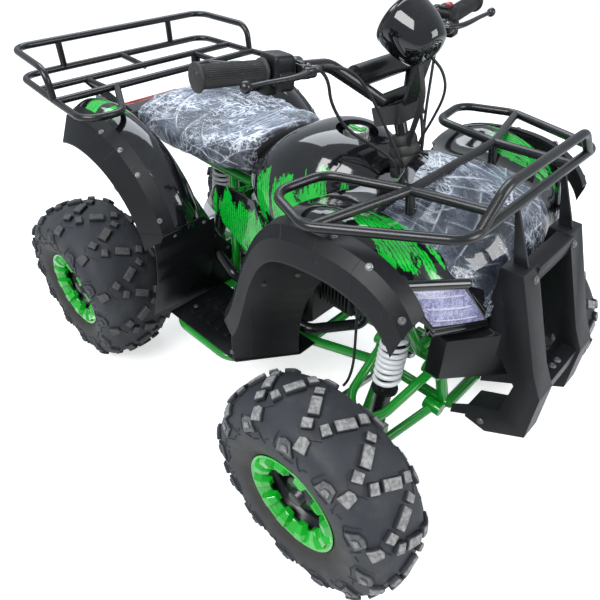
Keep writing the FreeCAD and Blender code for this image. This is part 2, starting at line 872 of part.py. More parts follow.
def tieRodPin():
    return Vector(frontAxleX - pitmanReach, -kingpinY - pitmanSpread, tieRodZ)


def pitmanPin():
    foot = columnPoint(tieRodZ)
    return Vector(foot.x - pitmanReach, -pitmanSpread, tieRodZ)


def tieRod():
    outer = tieRodPin()
    inner = pitmanPin()
    half = Vector(0, 0, tieRodEyeHeight / 2)
    direction = (outer - inner).normalize()
    openBore = studRadius + openPinGap
    shaft = rod(inner + direction * openBore, outer - direction * studRadius, tieRodRadius)
    pieces = [
        Part.makeCylinder(tieRodEyeRadius, tieRodEyeHeight, outer - half),
        Part.makeCylinder(openBore + openEyeWall, tieRodEyeHeight, inner - half),
    ]
    body = shaft.fuse(pieces)
    body = body.cut(Part.makeCylinder(studRadius + pinBoreGap, tieRodEyeHeight * 2, outer - half * 2))
    return body.cut(Part.makeCylinder(openBore, tieRodEyeHeight * 2, inner - half * 2))


def steeringColumn():
    direction = columnDirection()
    top = columnPoint(clampZ)
    foot = columnPoint(columnFootZ)
    shaft = rod(foot, top, columnRadius)
    forward = Vector(direction.z, 0, -direction.x)
    reach = pitmanReach * math.cos(math.radians(steerRake))
    plate = prism([
        foot + forward * pitmanRadius + Vector(0, -pitmanRadius, 0),
        foot - forward * (reach + studRadius * 2) + Vector(0, -pitmanSpread - studRadius * 2, 0),
        foot - forward * (reach + studRadius * 2) + Vector(0, pitmanSpread + studRadius * 2, 0),
        foot + forward * pitmanRadius + Vector(0, pitmanRadius, 0),
    ], direction * pitmanWall)
    studs = []
    for side in (-1, 1):
        root = foot - forward * reach + Vector(0, side * pitmanSpread, 0)
        length = (root.z - (tieRodZ - tieRodEyeHeight)) / direction.z
        studs.append(rod(root, root - direction * length, studRadius))
    clamp = Part.makeBox(clampLength, clampWidth, clampHeight)
    clamp.translate(Vector(-clampLength / 2, -clampWidth / 2, -clampHeight))
    clamp.rotate(Vector(), Vector(0, 1, 0), -steerRake)
    clamp.translate(top)
    return shaft.fuse([plate, clamp] + studs)


def barPlace(y, back, up):
    top = columnPoint(clampZ) + columnDirection() * (barTube + seatGap)
    return Vector(top.x - back, y, top.z + up)


# End of the right grip and the direction from there along the bar
def gripLine():
    end = barPlace(-gripEndY, gripBack, gripUp)
    return end, (barPlace(-riserTopY, riserTopBack, riserTopUp) - end).normalize()


def handlebar():
    end, direction = gripLine()
    half = [
        barPlace(0, 0, 0), barPlace(-barCentreHalf, 0, 0), barPlace(-riserTopY, riserTopBack, riserTopUp),
        end + direction * (gripFlangeWall + seatGap),
    ]
    right = bentTube(half[1:], barTube, barBend)
    middle = rod(half[1], mirrored(Part.Vertex(half[1])).Point, barTube)
    elbow = Part.makeSphere(barTube, half[1])
    along = half[1] + (half[2] - half[1]) * crossBarShare
    cross = rod(along, Vector(along.x, -along.y, along.z), braceTube)
    padHalf = along.y * crossPadShare
    pad = rod(Vector(along.x, padHalf, along.z), Vector(along.x, -padHalf, along.z), crossPadRadius)
    return middle.fuse([right, mirrored(right), elbow, mirrored(elbow), cross, pad])


def gripRight():
    end, direction = gripLine()
    inner = end + direction * ((gripEndY - gripInnerY) / abs(direction.y))
    sleeve = rod(end, inner, gripRadius)
    flange = rod(end, end + direction * gripFlangeWall, gripFlange)
    stop = rod(inner - direction * gripFlangeWall, inner, gripFlange)
    tunnel = rod(end + direction * gripFlangeWall, inner + direction * overrun, barTube + gripGap)
    return sleeve.fuse([flange, stop]).cut(tunnel)


def frontArch():
    return spread(frontArchShares, frontAxleX - frontArchBehind, frontArchLength,
                  frontArchFootZ, frontArchHeight)


def rearArch():
    return spread(rearArchShares, rearAxleX + rearArchRear, rearArchLength, rearArchFootZ, rearArchHeight)


def archLoft(line, hub, stations, wall):
    return Part.makeLoft([archBand(line, hub, y, drop, wall) for y, drop in stations], True, True)


def frontFlare():
    line = frontArch()[frontFlareFirst:]
    return archLoft(line, frontHub, [
        (-flareInnerY - seatGap, 0), (-flareRidgeY, flareRidgeDrop), (-flareShoulderY, flareShoulderDrop),
        (-flareLipY, flareLipDrop)], flareWall)


def rearFlare():
    return archLoft(rearArch(), rearHub, [
        (-rearFlareInnerY - seatGap, 0), (-rearFlareRidgeY, rearFlareRidgeDrop),
        (-rearFlareLipY, rearFlareLipDrop)], flareWall)


# Wall behind the front wheel, from its outer edge forwards to its inner edge
def frontMudPanel():
    line = [(x, z - panelTopDrop * (z - frontArchFootZ) / frontArchHeight)
            for x, z in frontArch()[:frontPanelCount]]
    outer = archBand(line, frontHub, -panelOuterY, 0, flareWall)
    inner = archBand([(x + panelInnerAhead, z) for x, z in line], frontHub, -panelInnerY, 0, flareWall)
    return Part.makeLoft([outer, inner], True, True)


def rearMudPanel():
    line = spread(rearPanelShares, rearAxleX + rearArchRear, rearArchLength, rearArchFootZ, rearArchHeight)
    line = [(x, z - seatGap) for x, z in line]
    return archLoft(line, rearHub, [(-rearFlareLipY, panelDrop), (-panelInnerY, 0)], flareWall)


# Places, edge heights and shares of the hood's sections: on the arch's points, then on the nose
def hoodStations():
    arch = frontArch()[frontPanelCount - 1:]
    nose = spread(hoodNoseShares, frontAxleX - frontArchBehind, frontArchLength, hoodEdgeZ, hoodRise)
    return [(x, z, shares) for (x, z), shares in zip(arch + nose, hoodStationShares)]


def hoodSection(station, drop):
    x, edgeZ, (width, ridge, valley, hood) = station
    half = hoodHalfWidth * width - drop
    heights = [
        (hoodEdgeShare, (edgeZ - hoodEdgeZ) / hoodRise), (hoodRidgeShare, ridge), (hoodValleyShare, valley),
        (hoodShoulderShare, (valley + hood) / 2), (hoodCrownShare, hood),
    ]
    right = [Vector(x, -half * across, hoodEdgeZ + hoodRise * up - drop) for across, up in heights]
    left = [Vector(x, -point.y, point.z) for point in reversed(right)]
    return right + left


def frontBody():
    wires = [bandWire(hoodSection(station, 0), hoodSection(station, shellWall)) for station in hoodStations()]
    shell = Part.makeLoft(wires, True, False)
    middle = columnPoint(columnBracketZ)
    low = hoodEdgeZ - hoodRise * 2
    hole = Part.makeCylinder(cowlHoleRadius, hoodRise * 4, Vector(middle.x, 0, low))
    notchHalf = tankHalfWidth + notchGap
    notch = Part.makeBox(frontArchLength, notchHalf * 2, hoodRise * 4,
                         Vector(frontAxleX - tankFrontBehind + notchGap - frontArchLength, -notchHalf, low))
    start, end = rackLegEnds()
    leg = rod(start, end, rackTube + seatGap)
    pocket = lampPocket()
    shell = shell.fuse([lampBoss(), mirrored(lampBoss())])
    return shell.cut([hole, notch, pocket, mirrored(pocket), leg, mirrored(leg)])


# A boss from the hood's underside down to the top of the lamp
def lampBoss():
    width, ridge, valley, crown = hoodStationShares[lampStation]
    x = frontAxleX - frontArchBehind + frontArchLength * frontArchShares[frontPanelCount - 1 + lampStation][0]
    y = -hoodHalfWidth * width * (hoodRidgeShare + hoodValleyShare) / 2
    top = hoodEdgeZ + hoodRise * (ridge + valley) / 2 - shellWall / 2
    return rod(Vector(x, y, lampInnerTopZ), Vector(x, y, top), bossRadius)


# What the hood leaves free: the lamp's room and the way out of it along the face's direction
def lampPocket():
    lamp = headlight(seatGap)
    face = lampFace(seatGap)
    outwards = (face[1] - face[0]).cross(face[3] - face[0]).normalize()
    return lamp.fuse([prism(corners, outwards * lampDepth) for corners in (face[:3], [face[0], face[2], face[3]])])


def lampFace(growth):
    f = frontAxleX + growth
    return [
        Vector(f + lampOuterAhead, -lampOuterY - growth, lampTopZ + growth),
        Vector(f + lampInnerAhead, -lampInnerY + growth, lampInnerTopZ + growth),
        Vector(f + lampFootInnerAhead, -lampFootInnerY + growth, lampInnerFootZ - growth),
        Vector(f + lampFootOuterAhead, -lampFootOuterY - growth, lampFootZ - growth),
    ]


def headlight(growth):
    face = lampFace(growth)
    backwards = Vector(-lampDepth - growth * 2, 0, 0)
    return prism(face[:3], backwards).fuse(prism([face[0], face[2], face[3]], backwards))


def tankSection(station):
    along, width, foot, top = station
    x = frontAxleX - tankFrontBehind - tankLength * along
    half = tankHalfWidth * width
    low = tankFootZ + tankHeight * foot
    high = tankFootZ + tankHeight * top
    shoulder = low + (high - low) * tankShoulderShare
    right = [Vector(x, -half, low), Vector(x, -half * tankBulgeShare, shoulder),
             Vector(x, -half * tankCrownShare, high - (high - shoulder) * tankCrownDropShare), Vector(x, 0, high)]
    left = [Vector(x, -point.y, point.z) for point in right[-2::-1]]
    return Part.Wire([splineEdge(right + left), Part.LineSegment(left[-1], right[0]).toShape()])


def tankCover():
    body = Part.makeLoft([tankSection(station) for station in tankSectionShares], True, False)
    well = Part.makeCylinder(capWellRadius, tankHeight, Vector(capX(), 0, capZ()))
    tunnel = Part.makeBox(tankLength * 2, tankTunnelHalf * 2, tankTunnelTop - tankFootZ + overrun,
                          Vector(capX() - tankLength, -tankTunnelHalf, tankFootZ - overrun))
    return body.cut([well, tunnel])


def capX():
    return frontAxleX - capBehind


def capZ():
    return tankFootZ + tankHeight - capWellDepth


def fuelCap():
    base = Vector(capX(), 0, capZ() + seatGap)
    return Part.makeCylinder(capRadius, capNeckHeight, base).fuse(
        Part.makeCylinder(capRadius - capNeckHeight, capHeight, base))


def seatSection(station):
    along, width, foot, top = station
    x = seatRearX + seatLength * along
    half = seatHalfWidth * width
    low = seatFootZ + seatThickness * foot
    high = seatFootZ + seatThickness * top
    right = [Vector(x, -half, low), Vector(x, -half * seatSideShare, (low + high) / 2),
             Vector(x, -half * seatShoulderShare, high - (high - low) * seatRoundShare), Vector(x, 0, high)]
    left = [Vector(x, -point.y, point.z) for point in right[-2::-1]]
    return Part.Wire([splineEdge(right + left), Part.LineSegment(left[-1], right[0]).toShape()])


def seat():
    return Part.makeLoft([seatSection(station) for station in seatStationShares], True, False)


def sidePanel():
    outline = spread(sidePanelShares, sidePanelRearX, sidePanelLength, sidePanelFootZ, sidePanelHeight)
    points = [Vector(x, -sidePanelY + sidePanelLean * (sidePanelFootZ + sidePanelHeight - z) / sidePanelHeight, z)
              for x, z in outline]
    panel = prism(points, Vector(0, plateWall, 0))
    bosses = [rod(Vector(x, -sidePanelY + plateWall + shellWall / 2, backboneMidZ - frameTube / 2),
                  Vector(x, -backboneY - frameTube - seatGap, backboneMidZ - frameTube / 2), bossRadius)
              for x in (sidePanelRearX + sidePanelLength * share for share in bossShares)]
    return panel.fuse(bosses)


def deckZ():
    return backboneRearZ + frameTube + seatGap


def deckTop():
    return deckZ() + deckWall + seatGap


def rearBody():
    deckFrontX = seatRearX - seatGap
    stations = [(-rearFlareInnerY, 0), (-(rearFlareInnerY + rearBodyInnerY) / 2, -rearCrown),
                (-rearBodyInnerY, rearInnerDrop)]
    fender = Part.makeLoft([archBand(rearArch(), rearHub, y, drop, shellWall) for y, drop in stations],
                           True, False)
    deck = Part.makeBox(deckFrontX - deckRearX, rearBodyInnerY * 2, deckWall,
                        Vector(deckRearX, -rearBodyInnerY, deckZ()))
    tail = rearArch()[0]
    web = Part.makeBox(deckFrontX - deckRearX, shellWall, tail[1] - deckZ() - shellWall - overrun,
                       Vector(deckRearX, -rearBodyInnerY, deckZ()))
    return fender.fuse([mirrored(fender), deck, web, mirrored(web)])


def tailLamp():
    return Part.makeBox(tailLampDepth, tailLampWidth, tailLampHeight,
                        Vector(deckRearX - tailLampDepth - seatGap, -tailLampWidth / 2,
                               deckZ() + deckWall - tailLampHeight))


def footboard():
    top = footTop
    frontX = frontAxleX - frontArchBehind + flareWall * 2
    slope = panelInnerAhead / (panelOuterY - panelInnerY)
    plate = prism([
        Vector(boardRearX, -boardOuterY, top - boardWall), Vector(frontX, -boardOuterY, top - boardWall),
        Vector(frontX + slope * (boardOuterY - panelInnerY), -panelInnerY, top - boardWall),
        Vector(frontX + slope * (boardOuterY - panelInnerY), -boardInnerY, top - boardWall),
        Vector(boardRearX, -boardInnerY, top - boardWall),
    ], Vector(0, 0, boardWall))
    cleats = []
    for row in range(cleatRows):
        x = boardRearX + cleatPitch * (row + 1)
        for y in (-boardOuterY + cleatWidth, -boardOuterY + cleatWidth * 2 + cleatLength):
            cleats.append(Part.makeBox(cleatLength, cleatWidth, cleatHeight, Vector(x, y, top)))
    return plate.fuse(cleats)


# Top and foot of the rack's rear leg, given on the left side
def rackLegEnds():
    f = frontAxleX
    return (Vector(f + frontRackCrossAhead, frontRackCrossY, frontRackCrossZ),
            Vector(f + towerAhead, frontRackCrossY, towerZ + frameTube + seatGap))


def frontRack():
    f = frontAxleX
    outer = bentTube([
        Vector(f + frontRackCrossAhead, -frontRackCrossY, frontRackCrossZ),
        Vector(f + frontRackInnerAhead, -frontRackInnerY, frontRackZ),
        Vector(f + frontRackRearAhead - rackTube, -frontRackRearY, frontRackZ),
        Vector(f + frontRackSideAhead, -frontRackOuter, frontRackZ),
        Vector(f + frontRackFrontAhead, -frontCornerY, frontRackFrontZ),
        Vector(f + frontRackFrontAhead, 0, frontRackFrontZ),
    ], rackTube, frontRackBend)
    inner = rod(Vector(f + frontRackCrossAhead, -frontRackCrossY, frontRackCrossZ),
                Vector(f + frontRackFrontAhead, -frontRackCrossY + rackTube * 2, frontRackFrontZ), rackTube)
    bar = rod(Vector(f + frontRackCrossAhead, -frontRackCrossY, frontRackCrossZ),
              Vector(f + frontRackSideAhead + rackTube, -frontRackOuter + rackTube, frontRackZ), rackTube)
    hoop = bentTube([
        Vector(f + frontRackFrontAhead, -frontHoopY, frontRackFrontZ),
        Vector(f + frontRackFrontAhead, -frontHoopTopY, frontHoopZ),
        Vector(f + frontRackFrontAhead, 0, frontHoopZ),
    ], rackTube, frontRackBend)
    legTop, legFoot = rackLegEnds()
    leg = rod(Vector(legTop.x, -legTop.y, legTop.z), Vector(legFoot.x, -legFoot.y, legFoot.z), rackTube)
    legY = bumperColumnY + bumperColumnWall / 2
    tab = prism([
        Vector(f + frontRackFrontAhead, -legY, frontRackFrontZ),
        Vector(f + bumperBackAhead + rackTube, -legY, bumperFootZ + bumperHeight + seatGap),
        Vector(f + bumperBackAhead + rackTube * 4, -legY, bumperFootZ + bumperHeight + seatGap),
        Vector(f + frontRackFrontAhead + rackTube / 2, -legY, frontRackFrontZ + rackTube / 2),
    ], Vector(0, plateWall, 0))
    side = [outer, inner, bar, hoop, leg, tab]
    cross = crossTube(f + frontRackCrossAhead, frontRackCrossY, frontRackCrossZ, rackTube)
    whole = side + [mirrored(piece) for piece in side] + [cross]
    return whole[0].fuse(whole[1:])


def rearRack():
    back = tailX + rackTube
    middle = rearAxleX - crossBarBehind - crossBarPitch
    front = rearAxleX - crossBarBehind
    side = bentTube([
        Vector(back, 0, rearRackBackZ), Vector(back, -rearRackBackHalf, rearRackBackZ),
        Vector(front, -rearRackHalf, rearRackZ), Vector(rearAxleX + wingAhead, -wingSideY, rearRackZ),
        Vector(rearAxleX + wingFrontAhead, -wingInnerY, rearRackZ),
        Vector(front, -wingRootY, rearRackZ),
    ], rackTube, rearRackBend)
    hoop = bentTube([
        Vector(back, 0, rearHoopZ), Vector(back, -rearRackBackHalf, rearHoopZ),
        Vector(front - rackTube * 2, -rearRackHalf, rearHoopZ - rackTube),
        Vector(front - rackTube, -rearRackHalf, rearRackZ),
    ], rackTube, rearRackBend)
    post = rod(Vector(back, -rackBracketY, rearRackBackZ), Vector(back, -rackBracketY, rearHoopZ), rackTube)
    bars = [
        rod(Vector(middle, -rackBracketY, rearRackZ), Vector(front, -rackBracketY, rearRackZ), innerRackTube),
    ]
    bracket = prism([
        Vector(middle, -rackBracketY - rackBracketWidth / 2, rearRackZ),
        Vector(middle, -rackBracketY + rackBracketWidth / 2, rearRackZ),
        Vector(middle + bracketForward, -bracketFootY + rackBracketWidth / 2, deckTop()),
        Vector(middle + bracketForward, -bracketFootY - rackBracketWidth / 2, deckTop()),
    ], Vector(rackBracketWall, 0, 0))
    half = [side, hoop, post, bracket] + bars
    whole = half + [mirrored(piece) for piece in half] + [
        crossTube(front, rearRackHalf, rearRackZ, braceTube),
        crossTube(middle, (rearRackHalf + rearRackBackHalf) / 2, (rearRackZ + rearRackBackZ) / 2, rackTube),
        rod(Vector(back, 0, rearRackBackZ), Vector(middle, 0, rearRackZ), innerRackTube),
    ]
    return whole[0].fuse(whole[1:])


def bumper():
    f = frontAxleX
    reach = frontOverhang - bumperBackAhead
    outline = spread(bumperColumnShares, f + bumperBackAhead, reach, bumperFootZ, bumperHeight)
    column = prism([Vector(x, -bumperColumnY - bumperColumnWall, z) for x, z in outline],
                   Vector(0, bumperColumnWall, 0))
    wing = Part.makeLoft([
        Part.makePolygon([Vector(x, y, z) for x, y, z in wingSection(root)]) for root in (True, False)
    ], True, True)
    bracket = prism([
        Vector(f + railFrontAhead + frameTube + seatGap, -bracketPlateY, lowerPivotZ + frameTube),
        Vector(f + railFrontAhead + frameTube + seatGap, -bracketPlateY, lowerPivotZ - frameTube),
        Vector(f + bumperBackAhead + reach / 2, -bracketPlateY, bumperFootZ),
        Vector(f + bumperBackAhead + reach / 2, -bracketPlateY, bumperFootZ + bracketPlateRise),
    ], Vector(0, -plateWall, 0))
    pieces = [column, wing, bracket]
    for share in bumperCrossShares:
        x, z = spread([share], f + bumperBackAhead, reach, bumperFootZ, bumperHeight)[0]
        pieces.append(Part.makeBox(bumperCrossDepth, bumperColumnY + overrun, bumperCrossHeight,
                                   Vector(x, -bumperColumnY - overrun, z)))
    whole = pieces + [mirrored(piece) for piece in pieces]
    return whole[0].fuse(whole[1:])


def wingSection(root):
    ahead = wingRootAhead if root else wingTipAhead
    y = -bumperColumnY - overrun if root else -wingOuterY
    depth = wingDepth if root else wingDepth / 2
    low = wingRootZ if root else wingRootZ + overrun
    high = low + (wingHeight if root else wingHeight * wingTipShare)
    x = frontAxleX + ahead
    corners = [(x, y, low), (x, y, high), (x - depth, y, high + overrun), (x - depth, y, low)]
    return corners + corners[:1]


def engine():
    outline = spread(engineShares, engineRearX, engineLength, engineFootZ, engineHeight)
    case = prism([Vector(x, -engineHalf, z) for x, z in outline], Vector(0, engineHalf * 2, 0))
    covers = []
    for along in coverAlongShares:
        x = engineRearX + engineLength * along
        z = engineFootZ + engineHeight / 2
        covers.append(Part.makeCylinder(coverRadius, engineHalf * 2 + coverWall * 2,
                                        Vector(x, -engineHalf - coverWall, z), Vector(0, 1, 0)))
    barrelLength = finPitch * finCount + headLength
    core = Part.makeBox(barrelLength, coreHalf * 2, coreHalf * 2,
                        Vector(cylinderStartX, -coreHalf, cylinderZ - coreHalf))
    fins = []
    cut = finHalf * finCornerShare
    rim8 = [(-finHalf, -cut), (-cut, -finHalf), (cut, -finHalf), (finHalf, -cut), (finHalf, cut),
            (cut, finHalf), (-cut, finHalf), (-finHalf, cut)]
    for index in range(finCount):
        x = cylinderStartX + finPitch * (index + 1)
        fins.append(prism([Vector(x, y, cylinderZ + z) for y, z in rim8], Vector(finWall, 0, 0)))
    return case.fuse(covers + [core] + fins)


def exhaust():
    pipe = bentTube([
        Vector(exhaustHeadX, 0, cylinderZ - coreHalf - seatGap), Vector(exhaustHeadX, 0, cylinderZ - pipeDrop),
        Vector(exhaustHeadX - pipeDrop, -pipeSideY, cylinderZ - pipeDrop),
        Vector(engineRearX, -pipeSideY, pipeLowZ), Vector(pipeRiseX, -silencerY, silencerZ),
        Vector(silencerFrontX - overrun, -silencerY, silencerZ),
    ], exhaustRadius, exhaustBend)
    can = Part.makeCylinder(silencerRadius, silencerLength, Vector(silencerFrontX, -silencerY, silencerZ),
                            Vector(-1, 0, 0))
    end = Vector(silencerFrontX - silencerLength - outletLength, -silencerY, silencerZ)
    outlet = Part.makeCylinder(exhaustRadius, outletLength, end, Vector(1, 0, 0))
    bore = Part.makeCylinder(exhaustRadius - pipeWall, outletLength + silencerRadius,
                             end - Vector(overrun, 0, 0), Vector(1, 0, 0))
    return pipe.fuse([can, outlet]).cut(bore)


def rearFork():
    pivot = crossTube(railRearX - swingPivotBack, railY, swingPivotZ, forkPivotRadius)
    housing = crossTube(rearAxleX, axleHousingHalf, rearAxleZ, axleHousingRadius)
    side = rod(Vector(railRearX - swingPivotBack, -forkY, swingPivotZ), Vector(rearAxleX, -forkY, rearAxleZ),
               forkTubeRadius)
    mountX = rearShockFootX
    share = (railRearX - swingPivotBack - mountX) / (railRearX - swingPivotBack - rearAxleX)
    mountZ = swingPivotZ + (rearAxleZ - swingPivotZ) * share
    cross = crossTube(mountX, forkY, mountZ, frameTube)
    post = Part.makeBox(shockEyeLength, shockEyeLength, rearShockFootZ - shockEyeRadius - seatGap - mountZ,
                        Vector(mountX - shockEyeLength / 2, -shockEyeLength / 2, mountZ))
    bore = crossTube(rearAxleX, axleHousingHalf + overrun, rearAxleZ, axleRadius + runningGap)
    return pivot.fuse([housing, side, mirrored(side), cross, post]).cut(bore)


def frontDampers():
    top, foot = frontShockEnds()
    return bothSides(damper(top, foot, shockEyeLength, 1))


def frontSprings():
    top, foot = frontShockEnds()
    return bothSides(coil(top, foot, springRadius, springWire, springTurns))


def rearShockEnds():
    return Vector(rearShockTopX, 0, rearShockTopZ), Vector(rearShockFootX, 0, rearShockFootZ)


def rearDamper():
    top, foot = rearShockEnds()
    return damper(top, foot, shockEyeLength, rearShockScale)


def rearSpring():
    top, foot = rearShockEnds()
    return coil(top, foot, springRadius, springWire, springTurns)


def rearRimWebY():
    return rearWheelY + rearTyreWidth / 2 * tyreSectionShares[0][0] + seatGap + rimWall - rimWebDepth


def rearAxle():
    shaftEnd = rearRimWebY() + spindleNutLength
    shaft = crossTube(rearAxleX, shaftEnd, rearAxleZ, axleRadius)
    sprocket = Part.makeCylinder(sprocketRadius, sprocketWall, Vector(rearAxleX, sprocketY, rearAxleZ),
                                 Vector(0, 1, 0))
    disc = Part.makeCylinder(discRadius, discWall, Vector(rearAxleX, -sprocketY - discWall, rearAxleZ),
                             Vector(0, 1, 0))
    carrier = crossTube(rearAxleX, sprocketY + flangeWall, rearAxleZ, axleHousingRadius)
    carrier = carrier.cut(crossTube(rearAxleX, axleHousingHalf + runningGap, rearAxleZ, axleHousingRadius))
    nuts = []
    for side in (-1, 1):
        nuts.append(Part.makeCylinder(flangeRadius / 2, flangeWall,
                                      Vector(rearAxleX, side * (rearRimWebY() + seatGap), rearAxleZ),
                                      Vector(0, side, 0)))
        nuts.append(Part.makeCylinder(flangeRadius, flangeWall,
                                      Vector(rearAxleX, side * (rearRimWebY() - hubLength - seatGap), rearAxleZ),
                                      Vector(0, -side, 0)))
    return shaft.fuse([sprocket, disc, carrier] + nuts)


# A dial housing: rings along an axis that leans forwards and down, on a plate up from the clamp
def instrumentPod():
    lean = math.radians(podTilt)
    direction = Vector(math.cos(lean), 0, -math.sin(lean))
    back = Vector(frontAxleX - podBehind, 0, podZ)
    rings = [Part.Wire([Part.Circle(back + direction * along, direction, radius).toShape()])
             for along, radius in podRings]
    bowl = Part.makeLoft(rings, True, True)
    up = columnDirection()
    forward = Vector(up.z, 0, -up.x)
    foot = columnPoint(clampZ) + forward * (clampLength / 2 - podPlateWall) + up * seatGap
    top = back + direction * podRings[-2][0]
    corners = [foot + forward * podPlateWall, foot, top, top + direction * podPlateWall]
    plate = prism([corner - Vector(0, podPlateHalf, 0) for corner in corners], Vector(0, podPlateHalf * 2, 0))
    return bowl.fuse([plate])


def controlSet():
    end, direction = gripLine()
    perUnit = 1 / abs(direction.y)
    gripInner = end + direction * ((gripEndY - gripInnerY) * perUnit + seatGap)
    switch = rod(gripInner, gripInner + direction * switchLength, switchRadius)
    forward = Vector(1, 0, 0)
    mountStart = gripInner + direction * switchLength
    mount = rod(mountStart, mountStart + direction * mountLength, switchRadius - leverRadius)
    root = mountStart + direction * (mountLength / 2) + forward * switchRadius
    knuckleEnd = root + forward * (leverReach / 2)
    tip = end + direction * leverReach + forward * leverReach
    lever = [
        rod(root - forward * switchRadius / 2, knuckleEnd, leverRadius * 2),
        rod(knuckleEnd, tip, leverRadius), Part.makeSphere(leverBall, tip),
    ]
    body = switch.fuse([mount] + lever)
    tunnel = rod(end, mountStart + direction * (mountLength + overrun), barTube + gripGap)
    return body.cut(tunnel)


def build():
    os.makedirs("parts", exist_ok=True)
    save("frame", frame())
    save("upper_arms", bothSides(upperArm()))
    save("lower_arms", bothSides(lowerArm()))
    save("front_shock_bodies", frontDampers())
    save("front_shock_springs", frontSprings())
    save("rear_shock_body", rearDamper())
    save("rear_shock_spring", rearSpring())
    save("rear_fork", rearFork())
    save("engine", engine())
    save("exhaust", exhaust())
    save("front_body", frontBody())
    save("front_flares", bothSides(frontFlare()))
    save("front_mud_panels", bothSides(frontMudPanel()))
    save("headlights", bothSides(headlight(0)))
    save("tank_cover", tankCover())
    save("fuel_cap", fuelCap())
    save("side_panels", bothSides(sidePanel()))
    save("seat", seat())
    save("rear_body", rearBody())
    save("rear_flares", bothSides(rearFlare()))
    save("rear_mud_panels", bothSides(rearMudPanel()))
    save("tail_lamp", tailLamp())
    save("footboards", bothSides(footboard()))
    save("front_rack", frontRack())
    save("rear_rack", rearRack())
    save("bumper", bumper())
    save("steering_column", steeringColumn())
    save("handlebar", handlebar())
    save("grips", bothSides(gripRight()))
    save("hand_controls", bothSides(controlSet()))
    save("instrument_pod", instrumentPod())
    save("rear_axle", rearAxle())
    for name, shape in (("knuckle", knuckle()), ("tie_rod", tieRod())):
        save(name + "_right", shape)
        save(name + "_left", mirrored(shape))
    for name, diameter, width, x, y, bore in (
            ("front", frontTyreDiameter, frontTyreWidth, frontAxleX, frontWheelY, spindleRadius + runningGap),
            ("rear", rearTyreDiameter, rearTyreWidth, rearAxleX, rearWheelY, axleRadius + seatGap)):
        place = Vector(x, -y, diameter / 2)
        rubber = tyre(diameter, width)
        rubber.translate(place)
        save("tyre_" + name + "_right", rubber)
        save("tyre_" + name + "_left", mirrored(rubber))
        disc = rim(width, bore)
        disc.translate(place)
        save("rim_" + name + "_right", disc)
        save("rim_" + name + "_left", mirrored(disc))


build()
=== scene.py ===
import bmesh
import bpy
import math
import numpy as np
from mathutils import Matrix, Vector
from mathutils.bvhtree import BVHTree


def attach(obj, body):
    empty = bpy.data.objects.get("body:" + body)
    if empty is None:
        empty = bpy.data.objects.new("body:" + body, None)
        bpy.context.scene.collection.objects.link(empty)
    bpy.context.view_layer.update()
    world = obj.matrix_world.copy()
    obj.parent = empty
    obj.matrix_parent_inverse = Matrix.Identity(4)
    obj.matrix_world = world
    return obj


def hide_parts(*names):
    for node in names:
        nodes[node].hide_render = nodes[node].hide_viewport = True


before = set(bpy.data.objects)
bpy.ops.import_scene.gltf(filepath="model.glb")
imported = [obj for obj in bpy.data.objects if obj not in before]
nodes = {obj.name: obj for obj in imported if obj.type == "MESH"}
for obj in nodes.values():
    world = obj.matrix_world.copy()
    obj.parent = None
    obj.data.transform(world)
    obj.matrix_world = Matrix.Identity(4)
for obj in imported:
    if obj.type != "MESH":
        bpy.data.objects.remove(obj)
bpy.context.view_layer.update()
print("quad bike: frame loaded,", len(nodes), "nodes")

# Camera at the photograph's place

cameraSpot = {"place": (0.857, -0.853, 1.211), "yaw": 134.13, "pitch": -39.03, "roll": 0.15, "lens": 32.42,
              "sensor": 36.0, "pixels": 600}


def placeCamera():
    yaw, pitch, roll = (math.radians(cameraSpot[key]) for key in ("yaw", "pitch", "roll"))
    ahead = Vector((math.cos(pitch) * math.cos(yaw), math.cos(pitch) * math.sin(yaw), math.sin(pitch)))
    right = ahead.cross(Vector((0, 0, 1))).normalized()
    up = right.cross(ahead)
    rolledRight = right * math.cos(roll) + up * math.sin(roll)
    rolledUp = up * math.cos(roll) - right * math.sin(roll)
    camera = bpy.data.objects.new("camera", bpy.data.cameras.new("camera"))
    camera.data.lens = cameraSpot["lens"]
    camera.data.sensor_width = cameraSpot["sensor"]
    camera.matrix_world = Matrix((rolledRight, rolledUp, -ahead)).transposed().to_4x4()
    camera.location = cameraSpot["place"]
    bpy.context.scene.collection.objects.link(camera)
    bpy.context.scene.camera = camera


placeCamera()

# Shared helpers

def unit(v):
    return v / np.linalg.norm(v, axis=-1, keepdims=True)


def fullTurn(count):
    # even angles once round, without the last that would meet the first
    return np.linspace(0, 2 * math.pi, count, endpoint=False)


def placePiece(mesh, body):
    # an object of the mesh's name that moves with a body
    piece = bpy.data.objects.new(mesh.name, mesh)
    bpy.context.scene.collection.objects.link(piece)
    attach(piece, body)
    return piece


def meshObject(name, verts, faces, material, body, smooth=True, values=None):
    # faces is one array or a list of arrays, a face's corners in each row; values are kept at each point
    lists = faces if isinstance(faces, list) else [faces]
    mesh = bpy.data.meshes.new(name)
    counts = np.concatenate([np.full(len(f), f.shape[1]) for f in lists])
    corner = np.concatenate([f.reshape(-1) for f in lists]).astype(np.int32)
    mesh.vertices.add(len(verts))
    mesh.vertices.foreach_set("co", np.asarray(verts, np.float32).reshape(-1))
    mesh.loops.add(len(corner))
    mesh.loops.foreach_set("vertex_index", corner)
    mesh.polygons.add(len(counts))
    mesh.polygons.foreach_set("loop_start", np.concatenate([[0], np.cumsum(counts)[:-1]]).astype(np.int32))
    mesh.polygons.foreach_set("use_smooth", np.full(len(counts), smooth))
    for key, data in (values or {}).items():
        attribute = mesh.attributes.new(key, "FLOAT", "POINT")
        attribute.data.foreach_set("value", np.asarray(data, np.float32).reshape(-1))
    mesh.update()
    mesh.validate()
    mesh.materials.append(material)
    return placePiece(mesh, body)


